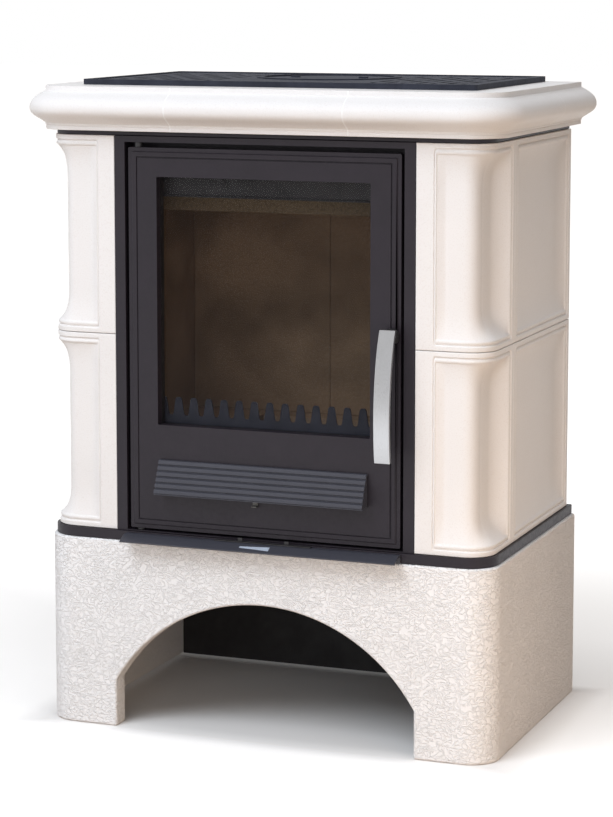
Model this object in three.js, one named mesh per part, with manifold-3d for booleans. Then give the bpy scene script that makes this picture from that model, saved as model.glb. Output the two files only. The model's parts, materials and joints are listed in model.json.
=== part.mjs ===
// Free-standing wood stove clad in glazed tiles, on a plinth with an arched wood store.
// Millimetres, +Z up. Drawn with X = 0 in the middle of the front, Y = 0 on the plinth's front
// plane (+Y to the back) and Z = 0 on the floor, then moved so that Y = 0 is mid-depth.
import * as THREE from "three";
import { mergeVertices } from "three/addons/utils/BufferGeometryUtils.js";
import Module from "manifold-3d";

const wasm = await Module();
wasm.setup();

// ---- Driving dimensions ----------------------------------------------------------------------
const GAP = 0.3; // clearance between pieces that touch
const JOINT = 0.8; // grout joint between ceramic pieces

const PLINTH_WIDTH = 792;
const PLINTH_DEPTH = 493;
const PLINTH_HEIGHT = 321.5;
const PLINTH_FRONT_WALL = 36;
const PLINTH_SIDE_WALL = 40;
const PLINTH_CORNER_RADIUS = 50;
const ARCH_WIDTH = 529;
const ARCH_SPRING_HEIGHT = 80;
const ARCH_HEIGHT = 230.5;
const STORE_PANEL_THICKNESS = 2;
const STORE_PANEL_SETBACK = 6;

const TRAY_HEIGHT = 16.5; // the black band under the tiles
const TRAY_SHEET = 3;
const TRAY_OVERHANG = 5; // beyond the tile face

const TILE_SIDE_INSET = 9.5; // tile face behind the plinth's side face
const TILE_FRONT_INSET = 6; // tile face behind the plinth's front face
const TILE_THICKNESS = 36;
const TILE_HEIGHT = 329.6;
const TILE_CORNER_RADIUS = 46;
const TILE_EDGE_ROUND = 1.4;
const CORNER_TILE_SIDE_END = 139; // where the corner tile meets the side tile, from the front
const TILE_REAR_END = 471.6;
const SHAFT_DEPTH = 22; // sunk shaft of a tile, on the side of the stove
const SHAFT_FRONT_SHARE = 0.5; // the shaft is shallower on the front face
const SHAFT_FRONT_BORDER = 30.5;
const SHAFT_REAR_BORDER = 13;
const SIDE_FIELD_FRONT_BORDER = 15;
const SIDE_FIELD_REAR_BORDER = 14;
const RIM_HEIGHT = 7;
const FLARE_HEIGHT = 55;
const COVE_HEIGHT = 63;

const SPACER_HEIGHT = 7.6; // dark frame between tiles and cornice
const SPACER_INSET = 2.5;
const SPACER_WIDTH = 118;
const SPACER_REAR_WIDTH = 40;
const CORNICE_OVERHANG = 43.5; // beyond the tile face
const CORNICE_HEIGHT = 72.5;
const CORNICE_LIP_OUT = 16.3; // plain lip at the foot, beyond the tile face
const CORNICE_LIP_HEIGHT = 6.5;
const CORNICE_FILLET = 4; // height of the second, smaller lip above it
const CORNICE_NOSE_LEVEL = 36.5; // where the bullnose stands out most
const CORNICE_STEP = 8.5; // small step from the bullnose up to the flat top
const CORNICE_STEP_OUT = 16.5;
const CORNICE_ARRIS = 1.5; // its sharp edges are eased by this much
const CORNICE_FLANGE_REACH = 58; // inwards from the tile face, under the top plate
const CORNICE_FLANGE_THICKNESS = 18;
const CORNICE_SWEPT_REACH = 44; // the same round the corner, inside its turning radius
const CORNICE_BODY_REACH = 30;
const CORNICE_FRONT_JOINT = 154;
const CORNICE_SIDE_JOINT = 277;
const CORNICE_REAR_END = 473.5;

const TOP_PLATE_SIDE_INSET = 41.5; // inside the tile face
const TOP_PLATE_FRONT = 57.7;
const TOP_PLATE_REAR = 457;
const TOP_PLATE_THICKNESS = 9;
const TOP_PLATE_RIM = 12;
const TOP_PLATE_CORNER_RADIUS = 8;
const TOP_PLATE_FIELD_RADIUS = 4;
const TOP_PLATE_FIELD_DEPTH = 2;
const FLUE_OPENING_RADIUS = 112.5;
const FLUE_LEDGE_RADIUS = 103;
const FLUE_LEDGE_THICKNESS = 3;
const FLUE_CENTRE_Y = 315;
const FLUE_LID_THICKNESS = 3;
const FLUE_LID_CLEARANCE = 1;
const LID_LUG_WIDTH = 16;
const LID_LUG_THICKNESS = 6;
const LID_LUG_HEIGHT = 3;
const LID_LUG_OUT = 62; // lug's middle from the middle of the lid
const VENT_SLOT_WIDTH = 9;
const VENT_SLOT_LENGTH = 62;
const VENT_SLOT_PITCH_X = 26;
const VENT_SLOT_PITCH_Y = 84;

const FRAME_WIDTH = 524.5; // black surround
const FRAME_STRIP = 18.5;
const FRAME_SHEET = 4;
const FRAME_DEPTH = 40;
const FRAME_TOP_STRIP = 10;
const FRAME_BOTTOM_THICKNESS = 1.6;
const SEAT_SIDE_BORDER = 37.5; // firebox mouth inside the door's edge, where the seal's seat is
const SEAT_BORDER = 24; // the same below the top and above the foot of the door
const SILL_END_INSET = 20.25; // ends of the sill inside the surround's sides
const SILL_REACH = 32; // in front of the plinth
const SILL_THICKNESS = 3.5;
const SILL_BELOW_DECK = 2.3;
const SILL_DROP = 8;
const SILL_FLAT = 13;
const SILL_EDGE_ROUND = 2;
const SILL_SLOT_LENGTH = 36;
const SILL_SLOT_WIDTH = 3;
const SILL_SLOT_SPACING = 44;
const SILL_MARK_X = -4;
const SILL_MARK_LENGTH = 52;
const SILL_MARK_TALL = 10;
const SILL_MARK_SHORT = 3;
const SILL_MARK_DEPTH = 1.2;

const DOOR_SIDE_GAP = 5.75;
const DOOR_BOTTOM_GAP = 4;
const DOOR_TOP_GAP = 8.6;
const DOOR_THICKNESS = 16;
const DOOR_PANEL_THICKNESS = 8;
const DOOR_CORNER_RADIUS = 2.5;
const DOOR_RIM = 6.5; // flat rim round the door, outside its bead
const DOOR_RIM_DROP = 2.2; // rim and groove behind the panel
const DOOR_BEAD = 9;
const DOOR_GROOVE = 1.6; // between the bead and the panel
const DOOR_STILE = 51.4; // beside the window
const DOOR_HEAD_RAIL = 47.5;
const DOOR_FOOT_RAIL = 176.5;
const WINDOW_CORNER_RADIUS = 2;
const DOOR_SLOTS = 4; // air slots behind the louvre
const DOOR_SLOT_LENGTH = 34;
const DOOR_SLOT_HEIGHT = 10;
const GLASS_THICKNESS = 4;
const GLASS_LAP = 10;
const RETAINER_THICKNESS = 10.5;
const RETAINER_LAP = 15;
const RETAINER_RIM = 4;
const SEAL_WIDTH = 9;
const SEAL_INSET = 2.5; // seal's inner edge outside the mouth
const HINGE_INSET = 16; // hinge line inside the door's left edge
const HINGE_Y = 15.5;
const HINGE_PIN_RADIUS = 4;
const HINGE_BORE_CLEARANCE = 0.4;
const HINGE_PIN_REACH = 12;
const HINGE_BORE_END = 1;
const HINGE_COLLAR = 2.5;

const LOUVRE_END_INSET = 55; // inside the door's edge
const LOUVRE_BELOW_WINDOW = 57.7;
const LOUVRE_HEIGHT = 55;
const LOUVRE_REACH = 26;
const LOUVRE_RIBS = 6;
const LOUVRE_CHEEK = 5;
const LOUVRE_RIB_THICKNESS = 3.6;
const LOUVRE_CHEEK_TOP = 2;
const LOUVRE_CHEEK_EDGE = 3;

const HANDLE_INSET = 14.2; // handle's middle inside the door's right edge
const HANDLE_BELOW_TOP = 291;
const HANDLE_DROP = 198.5;
const HANDLE_RISE = 13;
const HANDLE_WIDTH = 26.5;
const HANDLE_THICKNESS = 8;
const HANDLE_TOP_REACH = 24; // outer face of the handle in front of the door, at its top
const HANDLE_UPPER_BOW = 49; // reaches that its outward curve is drawn towards
const HANDLE_LOWER_BOW = 59;
const HANDLE_UPPER_BOW_LEVEL = 0.7; // of a third of its length, below the top
const HANDLE_END_REACH = 47;
const SPINDLE_RADIUS = 7;
const SPINDLE_BOSS_RADIUS = 13.3;
const SPINDLE_SEAT_OVERLAP = 1;
const SPINDLE_END = 3;
const LATCH_LAP = 1.5; // how far the latch reaches under its keeper
const LATCH_CLEARANCE = 1;
const CAM_POINT = 3;
const KEEPER_WIDTH = 4;
const KEEPER_DEPTH = 9;
const KEEPER_HEIGHT = 22;
const CAM_HEIGHT = 13;
const CAM_THICKNESS = 5;
const CAM_HUB_RADIUS = 11.5;

const PRIMARY_BAR_LENGTH = 170;
const PRIMARY_BAR_WIDTH = 8;
const PRIMARY_TAB_SPACING = 82;
const PRIMARY_TAB_WIDTH = 8;
const PRIMARY_TAB_SHEET = 2;
const PRIMARY_TAB_CLEARANCE = 1;
const PRIMARY_CENTRE_X = 5;
const SLIDER_SHEET = 1.6;
const SECONDARY_TAB_X = -12;
const SECONDARY_TRAVEL = 20;
const SECONDARY_END_CLEARANCE = 2;
const SECONDARY_PLATE_RISE = 6; // above the foot of the louvre
const SECONDARY_PLATE_HEIGHT = 34;
const SECONDARY_TAB_WIDTH = 9;
const SECONDARY_TAB_DROP = 13;
const SECONDARY_GRIP_REACH = 6;
const SECONDARY_GRIP_HEIGHT = 2;

const BODY_WALL = 4;
const BODY_FRONT = 46;
const BODY_REAR = 400;
const HEARTH_SIDE_INSET = 4.25; // side linings inside the surround's edge
const HEARTH_REAR = 320; // face of the back lining
const BRICK_THICKNESS = 30;
const HEARTH_BELOW_WINDOW = 20.7;
const SHELF_THICKNESS = 4;
const LINING_HEIGHT = 368; // above the hearth
const BAFFLE_THICKNESS = 25;
const BAFFLE_FRONT = 118;
const BAFFLE_SIDE_CLEARANCE = 4;
const SHELF_LEDGE = 8; // that the grate rests on
const GRATE_WIDTH = 220;
const GRATE_DEPTH = 180;
const GRATE_CENTRE_Y = 190;
const GRATE_THICKNESS = 16;
const GRATE_BAR = 9;
const GRATE_BARS = 9;
const COMB_TEETH = 15;
const COMB_PITCH = 27.2;
const COMB_TOOTH_HEIGHT = 30;
const COMB_VALLEY_RISE = 12.8; // above the foot of the window
const COMB_FILLET = 4;
const COMB_TIP_ROUND = 3;
const COMB_THICKNESS = 3;
const DEFLECTOR_HEIGHT = 34;
const DEFLECTOR_SHEET = 2;
const DEFLECTOR_LIP = 6;
const ASH_PAN_WIDTH = 290;
const ASH_PAN_DEPTH = 270;
const ASH_PAN_HEIGHT = 88;
const ASH_PAN_WALL = 2;
const ASH_PAN_SETBACK = 6;
const ASH_PAN_GRIP_WIDTH = 80;
const ASH_PAN_GRIP_REACH = 5;
const ASH_PAN_GRIP_DROP = 14;
const ASH_PAN_GRIP_SHEET = 3;

const FLUE_TUBE_RADIUS = 75;
const FLUE_TUBE_WALL = 3;
const FLUE_FLANGE = 12;
const FLUE_COLLAR_CLEARANCE = 8; // under the top plate
const REAR_COVER_THICKNESS = 1.5;
const REAR_COVER_MARGIN = 6;
const REAR_SLOT_COUNT = 9;
const REAR_SLOT_WIDTH = 44;
const REAR_SLOT_HEIGHT = 9;
const REAR_SLOT_PITCH = 63;
const REAR_SLOT_RISE = 40; // lowest row above the tray
const REAR_SLOT_ROWS = 2;
const REAR_SLOT_ROW_PITCH = 22;
const RAIL_SHEET = 3;
const RAIL_LAP = 20; // under the top plate
const RAIL_FOOT = 25;
const SPIGOT_REAR_END = 510;
const SPIGOT_BELOW_TOP = 98.6;

// ---- Levels and faces that follow from them --------------------------------------------------
const TRAY_BOTTOM = PLINTH_HEIGHT + GAP;
const TRAY_TOP = TRAY_BOTTOM + TRAY_HEIGHT;
const DECK = TRAY_TOP + GAP; // underside of all that stands on the tray
const TILE_HALF = PLINTH_WIDTH / 2 - TILE_SIDE_INSET;
const TOP_PLATE_HALF = TILE_HALF - TOP_PLATE_SIDE_INSET;
const UPPER_TILE = DECK + TILE_HEIGHT + JOINT;
const TILES_TOP = UPPER_TILE + TILE_HEIGHT;
const SPACER_BOTTOM = TILES_TOP + GAP;
const CORNICE_BOTTOM = SPACER_BOTTOM + SPACER_HEIGHT + GAP;
const CORNICE_TOP = CORNICE_BOTTOM + CORNICE_HEIGHT;
const PLATE_BOTTOM = CORNICE_TOP + GAP;
const PLATE_TOP = PLATE_BOTTOM + TOP_PLATE_THICKNESS;
const FACE = TILE_FRONT_INSET; // plane of the tiles, surround and door on the front
const FRAME_HALF = FRAME_WIDTH / 2;
const FRAME_INNER = FRAME_HALF - FRAME_STRIP;
const SEAT_FRONT = FACE + FRAME_DEPTH - FRAME_SHEET;
const FRAME_OPENING_BOTTOM = DECK + FRAME_BOTTOM_THICKNESS;
const FRAME_OPENING_TOP = TILES_TOP - FRAME_TOP_STRIP;
const DOOR_BOTTOM = FRAME_OPENING_BOTTOM + DOOR_BOTTOM_GAP;
const DOOR_TOP = FRAME_OPENING_TOP - DOOR_TOP_GAP;
const DOOR_HALF = FRAME_INNER - DOOR_SIDE_GAP;
const DOOR_BACK = FACE + DOOR_THICKNESS;
const SEAT_HALF = DOOR_HALF - SEAT_SIDE_BORDER;
const WINDOW_HALF = DOOR_HALF - DOOR_STILE;
const WINDOW_BOTTOM = DOOR_BOTTOM + DOOR_FOOT_RAIL;
const WINDOW_TOP = DOOR_TOP - DOOR_HEAD_RAIL;
const HINGE_X = -DOOR_HALF + HINGE_INSET;
const LOUVRE_HALF = DOOR_HALF - LOUVRE_END_INSET;
const LOUVRE_TOP = WINDOW_BOTTOM - LOUVRE_BELOW_WINDOW;
const LOUVRE_BOTTOM = LOUVRE_TOP - LOUVRE_HEIGHT;
const SECONDARY_PLATE_HALF =
  LOUVRE_HALF - LOUVRE_CHEEK - SECONDARY_TRAVEL - SECONDARY_END_CLEARANCE;
const SECONDARY_PLATE_BOTTOM = LOUVRE_BOTTOM + SECONDARY_PLATE_RISE;
const HANDLE_X = DOOR_HALF - HANDLE_INSET;
const HANDLE_PIVOT_Z = DOOR_TOP - HANDLE_BELOW_TOP;
const KEEPER_RIGHT = FRAME_INNER - GAP;
const SILL_REAR = FACE - TRAY_OVERHANG - GAP;
const SILL_LEVEL = DECK - SILL_BELOW_DECK;
const GLASS_FRONT = DOOR_BACK + GAP;
const GLASS_BACK = GLASS_FRONT + GLASS_THICKNESS;
const RETAINER_FRONT = GLASS_BACK + GAP;
const BEHIND_RETAINER = RETAINER_FRONT + RETAINER_THICKNESS + GAP;
const HEARTH_HALF_WIDTH = FRAME_HALF - HEARTH_SIDE_INSET;
const BODY_HALF = HEARTH_HALF_WIDTH + BRICK_THICKNESS + GAP + BODY_WALL;
const BODY_TOP = TILES_TOP;
const LINING_FRONT = BODY_FRONT + BODY_WALL + GAP;
const HEARTH_LEVEL = WINDOW_BOTTOM - HEARTH_BELOW_WINDOW;
const BRICK_TOP = HEARTH_LEVEL + LINING_HEIGHT;
const SHELF_TOP = HEARTH_LEVEL - BRICK_THICKNESS - GAP;
const BRICK_BOTTOM = SHELF_TOP + GAP;
const BACK_BRICK_REAR = HEARTH_REAR + BRICK_THICKNESS;
const SPIGOT_Z = BODY_TOP - SPIGOT_BELOW_TOP;

// ---- Geometry helpers ------------------------------------------------------------------------
const ROUND_STEPS = 24;
const FLUE_SIDES = 48;
const TUBE_SIDES = 32;
const MERGE_DISTANCE = 1e-4;
const CUT = 1; // how far a cutter reaches past the face it opens

function solid(geometry) {
  const bare = geometry.clone();
  bare.deleteAttribute("normal");
  bare.deleteAttribute("uv");
  const merged = mergeVertices(bare, MERGE_DISTANCE);
  return new wasm.Manifold(
    new wasm.Mesh({
      numProp: 3,
      vertProperties: merged.attributes.position.array,
      triVerts: new Uint32Array(merged.index.array),
    }),
  );
}

function geometryOf(shape) {
  const mesh = shape.getMesh();
  const geometry = new THREE.BufferGeometry();
  geometry.setAttribute("position", new THREE.BufferAttribute(mesh.vertProperties, 3));
  geometry.setIndex(new THREE.BufferAttribute(mesh.triVerts, 1));
  return geometry;
}

function join(...shapes) {
  return shapes.reduce((whole, shape) => whole.add(shape));
}

function cut(shape, ...tools) {
  return tools.reduce((rest, tool) => rest.subtract(tool), shape);
}

function block(x0, x1, y0, y1, z0, z1) {
  const box = new THREE.BoxGeometry(x1 - x0, y1 - y0, z1 - z0);
  return solid(box.translate((x0 + x1) / 2, (y0 + y1) / 2, (z0 + z1) / 2));
}

function extrusion(shape, length, steps = 1, curveSegments = 6) {
  return new THREE.ExtrudeGeometry(shape, {
    depth: length,
    steps,
    bevelEnabled: false,
    curveSegments,
  });
}

// A shape drawn in plan (X, Y), standing from z0 to z1.
function upright(shape, z0, z1, curveSegments) {
  return solid(extrusion(shape, z1 - z0, 1, curveSegments).translate(0, 0, z0));
}

// A shape drawn in elevation (X, Z), reaching from y0 back to y1.
function fromFront(shape, y0, y1, curveSegments) {
  const made = extrusion(shape, y1 - y0, 1, curveSegments);
  return solid(made.rotateX(Math.PI / 2).translate(0, y1, 0));
}

// A shape drawn in side view (Y, Z), reaching from x0 to x1.
function fromSide(shape, x0, x1, curveSegments) {
  const turn = new THREE.Matrix4().makeBasis(
    new THREE.Vector3(0, 1, 0),
    new THREE.Vector3(0, 0, 1),
    new THREE.Vector3(1, 0, 0),
  );
  const made = extrusion(shape, x1 - x0, 1, curveSegments);
  return solid(made.applyMatrix4(turn).translate(x0, 0, 0));
}

function rodUp(x, y, radius, z0, z1, sides = ROUND_STEPS) {
  const rod = new THREE.CylinderGeometry(radius, radius, z1 - z0, sides);
  return solid(rod.rotateX(Math.PI / 2).translate(x, y, (z0 + z1) / 2));
}

function rodBack(x, z, radius, y0, y1, sides = ROUND_STEPS) {
  const rod = new THREE.CylinderGeometry(radius, radius, y1 - y0, sides);
  return solid(rod.translate(x, (y0 + y1) / 2, z));
}

// A closed outline from its corner points.
function outline(points) {
  return new THREE.Shape(points.map(([x, y]) => new THREE.Vector2(x, y)));
}

function roundedRectangle(x0, x1, y0, y1, radius) {
  const shape = new THREE.Shape();
  shape.moveTo(x0 + radius, y0);
  shape.lineTo(x1 - radius, y0);
  shape.absarc(x1 - radius, y0 + radius, radius, -Math.PI / 2, 0);
  shape.lineTo(x1, y1 - radius);
  shape.absarc(x1 - radius, y1 - radius, radius, 0, Math.PI / 2);
  shape.lineTo(x0 + radius, y1);
  shape.absarc(x0 + radius, y1 - radius, radius, Math.PI / 2, Math.PI);
  shape.lineTo(x0, y0 + radius);
  shape.absarc(x0 + radius, y0 + radius, radius, Math.PI, 1.5 * Math.PI);
  return shape;
}

// Plan of a piece that is symmetric about X = 0, with its two front corners rounded.
function roundedFrontPlan(halfWidth, front, rear, radius) {
  const shape = new THREE.Shape();
  shape.moveTo(-halfWidth, rear);
  shape.lineTo(-halfWidth, front + radius);
  shape.absarc(-halfWidth + radius, front + radius, radius, Math.PI, 1.5 * Math.PI);
  shape.lineTo(halfWidth - radius, front);
  shape.absarc(halfWidth - radius, front + radius, radius, -Math.PI / 2, 0);
  shape.lineTo(halfWidth, rear);
  return shape;
}

// Ring of rectangular outline, seen from the front, between an outer and an inner rectangle.
function frontRing(halfWidth, bottom, top, strip, y0, y1) {
  const outer = block(-halfWidth, halfWidth, y0, y1, bottom, top);
  const half = halfWidth - strip;
  const inner = block(-half, half, y0 - CUT, y1 + CUT, bottom + strip, top - strip);
  return cut(outer, inner);
}

// ---- Mouldings swept round the left front corner ---------------------------------------------
// A station is a point of the tile face in plan, its outward normal, and the share of a
// profile's inward depth that is reached there.
function frontStation(x, share = 1) {
  return { x, y: FACE, nx: 0, ny: -1, share };
}

function sideStation(y, share = 1) {
  return { x: -TILE_HALF, y, nx: -1, ny: 0, share };
}

function cornerStations(steps, shareAt = () => 1) {
  const stations = [];
  for (let i = 0; i <= steps; i++) {
    const angle = (i / steps) * (Math.PI / 2);
    const nx = -Math.sin(angle);
    const ny = -Math.cos(angle);
    stations.push({
      x: -TILE_HALF + TILE_CORNER_RADIUS * (1 + nx),
      y: FACE + TILE_CORNER_RADIUS * (1 + ny),
      nx,
      ny,
      share: shareAt(i / steps),
    });
  }
  return stations;
}

// Sweeps a profile drawn as (distance out from the tile face, height) along the stations.
function sweep(profile, stations, curveSegments) {
  const made = extrusion(profile, stations.length - 1, stations.length - 1, curveSegments);
  const position = made.attributes.position;
  for (let i = 0; i < position.count; i++) {
    const station = stations[Math.round(position.getZ(i))];
    const out = position.getX(i);
    const reach = out > 0 ? out : out * station.share;
    const x = station.x + station.nx * reach;
    const y = station.y + station.ny * reach;
    position.setXYZ(i, x, y, position.getY(i));
  }
  return solid(made);
}

// ---- Finishes --------------------------------------------------------------------------------
function finish(color, roughness, metalness = 0) {
  return new THREE.MeshStandardMaterial({ color, roughness, metalness });
}

const texturedRender = finish(0xefece9, 0.9);
const glaze = finish(0xf1ebe4, 0.3);
const blackPaint = finish(0x35333a, 0.55, 0.4);
const castIron = finish(0x3c3c43, 0.6, 0.4);
const brightSteel = finish(0xb9bcc4, 0.3, 0.9);
const darkSteel = finish(0x2c2b2e, 0.6, 0.5);
const fireclay = finish(0x6b5a44, 0.95);
const vermiculite = finish(0x9a8a6c, 0.95);
const windowGlass = finish(0x2a2a30, 0.1);
const rope = finish(0x4a4a4a, 0.95);

const stove = new THREE.Group();

function place(name, shape, material, turnedOver = false) {
  const mesh = new THREE.Mesh(geometryOf(shape), material);
  mesh.name = name;
  if (turnedOver) mesh.scale.x = -1;
  stove.add(mesh);
}

// The same piece on the left, as drawn, and mirrored on the right.
function placePair(name, shape, material) {
  place(name + "_left", shape, material);
  place(name + "_right", shape, material, true);
}

// ---- Plinth and wood store -------------------------------------------------------------------
// Segmental arch: upright jambs to the springing line, then one arc to the crown.
function archShape() {
  const half = ARCH_WIDTH / 2;
  const rise = ARCH_HEIGHT - ARCH_SPRING_HEIGHT;
  const radius = (half * half + rise * rise) / (2 * rise);
  const spread = Math.asin(half / radius);
  const shape = new THREE.Shape();
  shape.moveTo(-half, -CUT);
  shape.lineTo(half, -CUT);
  shape.lineTo(half, ARCH_SPRING_HEIGHT);
  shape.absarc(0, ARCH_HEIGHT - radius, radius, Math.PI / 2 - spread, Math.PI / 2 + spread);
  shape.lineTo(-half, ARCH_SPRING_HEIGHT);
  return shape;
}

function plinth() {
  const half = PLINTH_WIDTH / 2;
  const outer = roundedFrontPlan(half, 0, PLINTH_DEPTH, PLINTH_CORNER_RADIUS);
  const inner = roundedFrontPlan(
    half - PLINTH_SIDE_WALL,
    PLINTH_FRONT_WALL,
    PLINTH_DEPTH + CUT,
    PLINTH_CORNER_RADIUS - PLINTH_SIDE_WALL,
  );
  return cut(
    upright(outer, 0, PLINTH_HEIGHT, 10),
    upright(inner, -CUT, PLINTH_HEIGHT + CUT, 4),
    fromFront(archShape(), -CUT, PLINTH_FRONT_WALL + CUT, 28),
  );
}

function storeBackPanel() {
  const half = PLINTH_WIDTH / 2 - PLINTH_SIDE_WALL - GAP;
  const rear = PLINTH_DEPTH - STORE_PANEL_SETBACK;
  return block(-half, half, rear - STORE_PANEL_THICKNESS, rear, 0, PLINTH_HEIGHT);
}

// Folded sheet: a flat top with a skirt all round, standing on the plinth's walls.
function baseTray() {
  const half = TILE_HALF + TRAY_OVERHANG;
  const front = FACE - TRAY_OVERHANG;
  const rear = PLINTH_DEPTH - STORE_PANEL_SETBACK;
  const radius = TILE_CORNER_RADIUS + TRAY_OVERHANG;
  const outer = roundedFrontPlan(half, front, rear, radius);
  const inner = roundedFrontPlan(
    half - TRAY_SHEET,
    front + TRAY_SHEET,
    rear - TRAY_SHEET,
    radius - TRAY_SHEET,
  );
  const hollow = upright(inner, TRAY_BOTTOM - CUT, TRAY_TOP - TRAY_SHEET, 8);
  return upright(outer, TRAY_BOTTOM, TRAY_TOP, 8).subtract(hollow);
}

// ---- Tiles -----------------------------------------------------------------------------------
function tileBlank(stations) {
  const e = TILE_EDGE_ROUND;
  const section = outline([
    [-TILE_THICKNESS, 0],
    [-e, 0],
    [0, e],
    [0, TILE_HEIGHT - e],
    [-e, TILE_HEIGHT],
    [-TILE_THICKNESS, TILE_HEIGHT],
  ]);
  return sweep(section, stations);
}

// Section of the sunk shaft: a trumpet flare above the bottom rim, a quick cove under the top
// rim, and a small quirk beside each rim. Heights count from the tile's lower edge.
function shaftSection() {
  const quirk = 1.6;
  const outside = 6;
  const flareSteps = 6;
  const coveSteps = 6;
  const flareStart = RIM_HEIGHT + 3 * quirk;
  const rollHeight = 2 * RIM_HEIGHT;
  const points = [
    [outside, RIM_HEIGHT],
    [0, RIM_HEIGHT],
    [-quirk, RIM_HEIGHT + quirk],
    [-quirk / 2, RIM_HEIGHT + 2 * quirk],
  ];
  for (let i = 0; i <= flareSteps; i++) {
    const t = i / flareSteps;
    const depth = SHAFT_DEPTH - (SHAFT_DEPTH - quirk) * (1 - t) ** 1.9;
    points.push([-depth, flareStart + FLARE_HEIGHT * t]);
  }
  for (let i = coveSteps; i >= 0; i--) {
    const t = (i / coveSteps) ** 1.5;
    const depth = SHAFT_DEPTH - (SHAFT_DEPTH - quirk / 2) * (1 - t) ** 3.2;
    points.push([-depth, TILE_HEIGHT - rollHeight - COVE_HEIGHT * t]);
  }
  points.push([-quirk / 2, TILE_HEIGHT - RIM_HEIGHT - 2 * quirk]);
  points.push([-quirk, TILE_HEIGHT - RIM_HEIGHT - quirk]);
  points.push([0, TILE_HEIGHT - RIM_HEIGHT]);
  points.push([outside, TILE_HEIGHT - RIM_HEIGHT]);
  return outline(points);
}

// Shares of the shaft's depth over its coved end, from the border inwards.
const COVED_END = [
  [0, 0.04],
  [3, 0.35],
  [8, 0.62],
  [18, 0.86],
  [36, 1],
];

function coveAlong(border, direction, station, fullShare = 1) {
  return COVED_END.map(([inwards, share]) =>
    station(border + direction * inwards, share * fullShare),
  );
}

function cornerTile() {
  const rear = CORNER_TILE_SIDE_END - JOINT / 2;
  const inner = -(FRAME_HALF + GAP);
  const blank = tileBlank([frontStation(inner), ...cornerStations(7), sideStation(rear)]);
  const easing = (t) => SHAFT_FRONT_SHARE + (1 - SHAFT_FRONT_SHARE) * t * t * (3 - 2 * t);
  const shaft = sweep(shaftSection(), [
    ...coveAlong(inner - SHAFT_FRONT_BORDER, -1, frontStation, SHAFT_FRONT_SHARE),
    ...cornerStations(7, easing),
    ...coveAlong(rear - SHAFT_REAR_BORDER, -1, sideStation).reverse(),
  ]);
  return blank.subtract(shaft);
}

function sideTile() {
  const front = CORNER_TILE_SIDE_END + JOINT / 2;
  const blank = tileBlank([sideStation(front), sideStation(TILE_REAR_END)]);
  const field = sweep(shaftSection(), [
    ...coveAlong(front + SIDE_FIELD_FRONT_BORDER, 1, sideStation),
    ...coveAlong(TILE_REAR_END - SIDE_FIELD_REAR_BORDER, -1, sideStation).reverse(),
  ]);
  return blank.subtract(field);
}

function placeTiles() {
  const rows = { lower: DECK, upper: UPPER_TILE };
  for (const [row, bottom] of Object.entries(rows)) {
    placePair("corner_tile_" + row, cornerTile().translate([0, 0, bottom]), glaze);
    placePair("side_tile_" + row, sideTile().translate([0, 0, bottom]), glaze);
  }
}

// ---- Spacer frame, cornice and top plate -----------------------------------------------------
function spacerFrame() {
  const half = TILE_HALF - SPACER_INSET;
  const front = FACE + SPACER_INSET;
  const rear = TILE_REAR_END - SPACER_INSET;
  const outer = roundedFrontPlan(half, front, rear, TILE_CORNER_RADIUS - SPACER_INSET);
  const opening = block(
    -half + SPACER_WIDTH,
    half - SPACER_WIDTH,
    front + SPACER_WIDTH,
    rear - SPACER_REAR_WIDTH,
    SPACER_BOTTOM - CUT,
    SPACER_BOTTOM + SPACER_HEIGHT + CUT,
  );
  const plate = upright(outer, SPACER_BOTTOM, SPACER_BOTTOM + SPACER_HEIGHT, 6);
  return plate.subtract(opening);
}

// Lip and fillet at the foot, a large bullnose, a small step, then the flat ledge that carries
// the top plate. The back is hooked over the spacer frame.
function corniceSection(flangeReach) {
  const lip = CORNICE_LIP_OUT;
  const arris = CORNICE_ARRIS;
  const out = CORNICE_OVERHANG;
  const nose = CORNICE_NOSE_LEVEL;
  const top = CORNICE_HEIGHT;
  const noseFoot = CORNICE_LIP_HEIGHT + CORNICE_FILLET;
  const noseTop = top - CORNICE_STEP;
  const bulge = (out - lip) / 2; // how far the curves run on before they turn
  const shape = new THREE.Shape();
  shape.moveTo(-CORNICE_BODY_REACH, 0);
  shape.lineTo(lip - arris, 0);
  shape.lineTo(lip, arris);
  shape.lineTo(lip, CORNICE_LIP_HEIGHT);
  shape.lineTo(lip + arris, noseFoot);
  shape.bezierCurveTo(lip + bulge, noseFoot + 0.7 * bulge, out, nose - bulge, out, nose);
  shape.bezierCurveTo(out, nose + bulge, lip + bulge, noseTop - bulge / 2, lip, noseTop);
  shape.lineTo(CORNICE_STEP_OUT, top - arris);
  shape.lineTo(CORNICE_STEP_OUT - arris, top);
  shape.lineTo(-flangeReach, CORNICE_HEIGHT);
  shape.lineTo(-flangeReach, CORNICE_HEIGHT - CORNICE_FLANGE_THICKNESS);
  shape.lineTo(-CORNICE_BODY_REACH, CORNICE_HEIGHT - CORNICE_FLANGE_THICKNESS);
  return shape;
}

// A strip of flange beyond the corner's turning radius, which the swept section can't reach.
function corniceLedge(x0, x1, y0, y1) {
  const bottom = CORNICE_HEIGHT - CORNICE_FLANGE_THICKNESS;
  return block(x0, x1, y0, y1, bottom, CORNICE_HEIGHT);
}

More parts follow.
